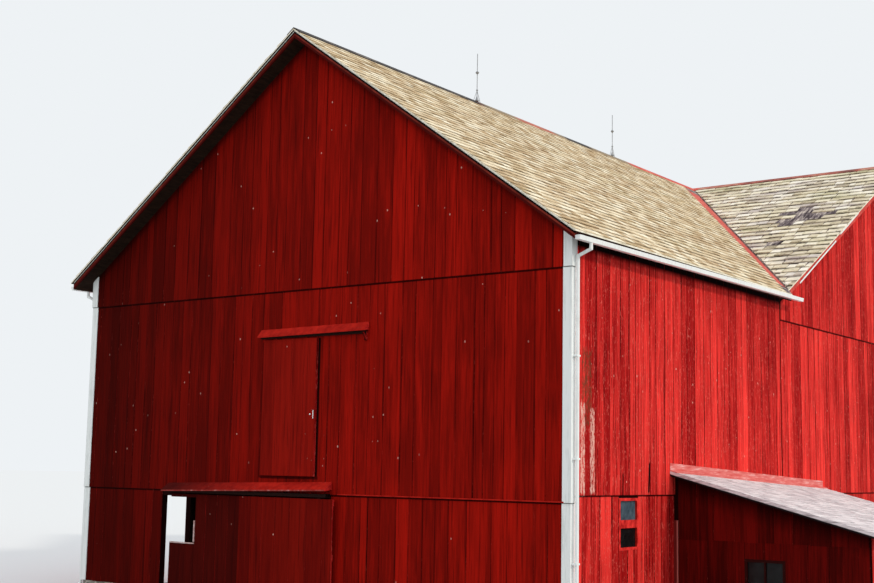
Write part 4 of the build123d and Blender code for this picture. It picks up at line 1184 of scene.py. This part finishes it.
class BARN_OT_fittings(bpy.types.Operator):
    """Small trims and fittings: drip ledge, door trims, straps, bracket, rod fittings, loose strips"""
    bl_idname = "barn.fittings"
    bl_label = "Fittings"

    def execute(self, context):
        outwards = (0, 1, 0)
        ledge_y, ledge_z = FRONT - 0.027, FRONT_JOINT + 0.012
        lip_y = FRONT - 0.232
        bracket_x, bracket_y = 1.72, FRONT - BOARD_LAP - 0.03
        latch_y = FRONT - BOARD_LAP - 0.058
        hatch_left, hatch_right = LEFT_LEAF + 0.02, LEFT_LEAF + HATCH_WIDTH - 0.005
        jamb_x, jamb_y = hatch_right - 0.02, FRONT - 0.08
        sill_y, sill_z = FRONT - 0.082, HATCH_SILL - 0.012
        # Pale strips hang loose from the rake board of the cross roof's right end
        rake_x, rake_up = HALF_WIDTH + 0.136, (0, -CROSS_SLOPE, 1)
        for name, body, slot, maker, bevel, bars in (
            ("front_drip_ledge", "barn", "red_trim", trim_paint, 0.003, (
                ((1.12, ledge_y, ledge_z), (HALF_WIDTH - 0.1, ledge_y, ledge_z), 0.034, 0.022),
            )),
            ("lower_hood_lip", "barn", "red_trim", hood_lip_paint, 0.002, (
                ((-3.46, lip_y, 2.262), (0.96, lip_y, 2.362), 0.008, 0.024),
            )),
            ("upper_hood_bracket", "barn", "red_trim", left_leaf_paint_with_painted_shade, 0.004, (
                ((bracket_x, bracket_y, 5.3), (bracket_x, bracket_y, 5.14), 0.06, 0.035, outwards),
                ((bracket_x, bracket_y, 5.16), (bracket_x, bracket_y - 0.08, 5.29), 0.035, 0.03, (1, 0, 0)),
            )),
            ("upper_door_latch", "barn", "white_trim", white_trim_paint, 0.003, (
                ((0.49, latch_y, 3.7), (0.49, latch_y, 3.86), 0.017, 0.012, outwards),
                ((0.412, latch_y, 3.772), (0.412, latch_y, 3.8), 0.028, 0.012, outwards),
            )),
            ("hatch_trim", "left_leaf", "red_doors", hatch_edge_paint, 0.003, (
                ((jamb_x, jamb_y, HATCH_SILL + 0.02), (jamb_x, jamb_y, 1.68), 0.03, 0.02, outwards),
                ((hatch_left, sill_y, sill_z), (hatch_right, sill_y, sill_z), 0.03, 0.024),
            )),
            ("loose_rake_strips", "barn", "white_trim", white_trim_paint, 0.002, (
                ((rake_x, 0.946, 9.405), (rake_x, -0.393, 8.66), 0.012, 0.035, rake_up),
                ((rake_x, -0.709, 8.44), (rake_x, -3.087, 7.119), 0.012, 0.035, rake_up),
            )),
        ):
            hand_over(name, [solid(name, [bar(*each) for each in bars], once(maker), bevel)], body)

        straps = {"Count": 3, "Step": (0.0, 0.0, 1.7), "Size": (0.086, 0.11, 0.03),
                  "Material": once(white_sheet)}
        lowest = Matrix.Translation((6.18, -12.89, 1.3))
        hand_over("downspout_straps", [grow("strap", once(row_tree), straps, lowest)])

        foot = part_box("lightning_rods")[0][2]
        collar = (0.005, 0.11, [(0.0, 0.05), (0.4, 0.034), (1.0, 0.014)])
        knob = (0.245, 0.285, [(0.0, 0.014), (0.3, 0.024), (0.7, 0.024), (1.0, 0.014)])
        lumps = [turned((0, y, foot + low), (0, y, foot + high), profile)
                 for y in RODS for low, high, profile in (collar, knob)]
        hand_over("rod_fittings", [solid("rod_fittings", lumps, once(galvanised_rod))])
        return {"FINISHED"}


class BARN_OT_finishes(bpy.types.Operator):
    """Give every visible CAD node its real material"""
    bl_idname = "barn.finishes"
    bl_label = "Finishes"

    def execute(self, context):
        finishes = {
            masonry: ("end_foundations", "side_foundations", "ground_floor"),
            wall_behind_boards: (
                "front_wall_lower", "front_wall_upper", "door_lintels", "front_gable", "right_wall",
                "left_wall_lower", "left_wall_upper", "right_cross_wall", "left_cross_wall",
                "right_cross_gable", "left_cross_gable", "rear_wall", "shed_end_walls", "shed_front_wall",
            ),
            old_timber: ("posts", "floor_girders", "mow_floor"),
            roof_boards: (
                "main_roof_right", "main_roof_left", "cross_roof_front_right", "cross_roof_front_left",
                "cross_roof_rear",
            ),
            shed_roof_edge: ("shed_roof",),
            ridge_and_valley_sheet: ("main_ridge_cap", "cross_ridge_cap", "valley_flashings"),
            flashing_sheet: ("shed_flashing",),
            rake_paint: ("rake_boards",),
            trim_paint: ("upper_door_hood", "lower_door_hood", "window_frames"),
            door_paint: ("lower_right_door",),
            upper_door_paint: ("upper_door",),
            left_leaf_paint_with_painted_shade: ("lower_left_door",),
            white_trim_paint: ("corner_boards",),
            white_sheet: ("gutters", "downspouts"),
            galvanised_rod: ("lightning_rods",),
            rusty_iron_with_painted_shade: ("door_rails", "lower_right_hangers", "lower_left_hangers"),
            window_glass: ("window_panes",),
        }
        chosen = {node: maker for maker, nodes in finishes.items() for node in nodes}
        for node, maker in chosen.items():
            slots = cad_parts[node].data.materials
            slots.clear()
            slots.append(once(maker))
        left = sorted(set(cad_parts) - set(chosen))
        if left:
            raise RuntimeError(f"no finish is given to {left}")
        return {"FINISHED"}


class BARN_OT_studio(bpy.types.Operator):
    """Pale floor, soft light and the camera"""
    bl_idname = "barn.studio"
    bl_label = "Studio"

    def execute(self, context):
        self.make_floor()
        self.make_light(context.scene)
        self.make_camera(context.scene)
        return {"FINISHED"}

    def by_sight(self, tree, bounced, seen):
        """One shader for bounced light, and one for what the camera sees, also through glass or polish."""
        path = add(tree, "ShaderNodeLightPath")
        sight = path["Is Camera Ray"] | path["Is Glossy Ray"] | path["Is Transmission Ray"]
        return add(tree, "ShaderNodeMixShader", (sight, bounced, seen))

    def make_floor(self):
        material = bpy.data.materials.new("pale_studio_floor")
        material.use_nodes = True
        tree = material.node_tree
        tree.nodes.clear()
        bounced, seen = (
            add(tree, "ShaderNodeBsdfDiffuse", {"Color": code}) for code in ("#aaacac", "#dfe2e4"))
        add(tree, "ShaderNodeOutputMaterial", {"Surface": self.by_sight(tree, bounced, seen)})
        corners, reach, drop = 64, 400.0, -0.001
        angles = [2 * math.pi * i / corners for i in range(corners)]
        points = [(reach * math.cos(angle), reach * math.sin(angle), drop) for angle in angles]
        mesh = bpy.data.meshes.new("floor")
        mesh.from_pydata(points, [], [tuple(range(corners))])
        mesh.materials.append(material)
        link_object("floor", mesh)

    def make_light(self, scene):
        scene.world = bpy.data.worlds.new("soft_studio")
        scene.world.use_nodes = True
        tree = scene.world.node_tree
        tree.nodes.clear()
        fill, backdrop = (add(tree, "ShaderNodeBackground", {"Color": code, "Strength": strength})
                          for code, strength in (("#f4f6f8", 1.06), ("#eef2f5", 1.0)))
        add(tree, "ShaderNodeOutputWorld", {"Surface": self.by_sight(tree, fill, backdrop)})
        sun = bpy.data.lights.new("key", "SUN")
        sun.energy = 1.2
        sun.color = linear("#fff4e4")[:3]
        sun.angle = math.radians(4)
        towards = Vector((0.85, 0.12, 0.5))
        link_object("key", sun).rotation_euler = towards.to_track_quat("Z", "Y").to_euler()

    def make_camera(self, scene):
        forward = Vector((math.sin(YAW) * math.cos(PITCH), math.cos(YAW) * math.cos(PITCH), math.sin(PITCH)))
        level = Vector((math.cos(YAW), -math.sin(YAW), 0.0))
        upright = level.cross(forward)
        right = level * math.cos(ROLL) + upright * math.sin(ROLL)
        up = upright * math.cos(ROLL) - level * math.sin(ROLL)
        lens = bpy.data.cameras.new("camera")
        lens.sensor_width = 36.0
        lens.lens = lens.sensor_width * FOCAL_PIXELS / PHOTO_WIDTH
        lens.clip_end = 1000.0
        camera = link_object("camera", lens)
        turn = Matrix((right, up, -forward)).transposed().to_4x4()
        turn.translation = Vector(CAMERA_PLACE)
        camera.matrix_world = turn
        scene.camera = camera
        scene.view_settings.view_transform = "Standard"


class BARN_PT_sidebar(bpy.types.Panel):
    """The barn's sizes, colours and pieces"""
    bl_idname = "BARN_PT_sidebar"
    bl_label = "Barn"
    bl_space_type = "VIEW_3D"
    bl_region_type = "UI"
    bl_category = "Barn"

    def draw(self, context):
        layout = self.layout
        for group in (context.scene.barn_sizes, context.scene.barn_colours):
            for name in group.__annotations__:
                layout.prop(group, name)
        for operator in OPERATORS:
            layout.operator(operator.bl_idname)


OPERATORS = (
    BARN_OT_finishes,
    BARN_OT_front_boards,
    BARN_OT_side_boards,
    BARN_OT_wing_boards,
    BARN_OT_shed_boards,
    BARN_OT_main_shingles,
    BARN_OT_wing_shingles,
    BARN_OT_shed_shingles,
    BARN_OT_door_boards,
    BARN_OT_fittings,
    BARN_OT_studio,
)
CLASSES = (BarnSizes, BarnColours) + OPERATORS + (BARN_PT_sidebar,)


def register():
    for one in CLASSES:
        bpy.utils.register_class(one)
    bpy.types.Scene.barn_sizes = bpy.props.PointerProperty(type=BarnSizes)
    bpy.types.Scene.barn_colours = bpy.props.PointerProperty(type=BarnColours)


def unregister():
    del bpy.types.Scene.barn_colours
    del bpy.types.Scene.barn_sizes
    for one in reversed(CLASSES):
        bpy.utils.unregister_class(one)


def main():
    register()
    for operator in OPERATORS:
        family, name = operator.bl_idname.split(".")
        getattr(getattr(bpy.ops, family), name)()
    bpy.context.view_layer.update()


if __name__ == "__main__":
    main()
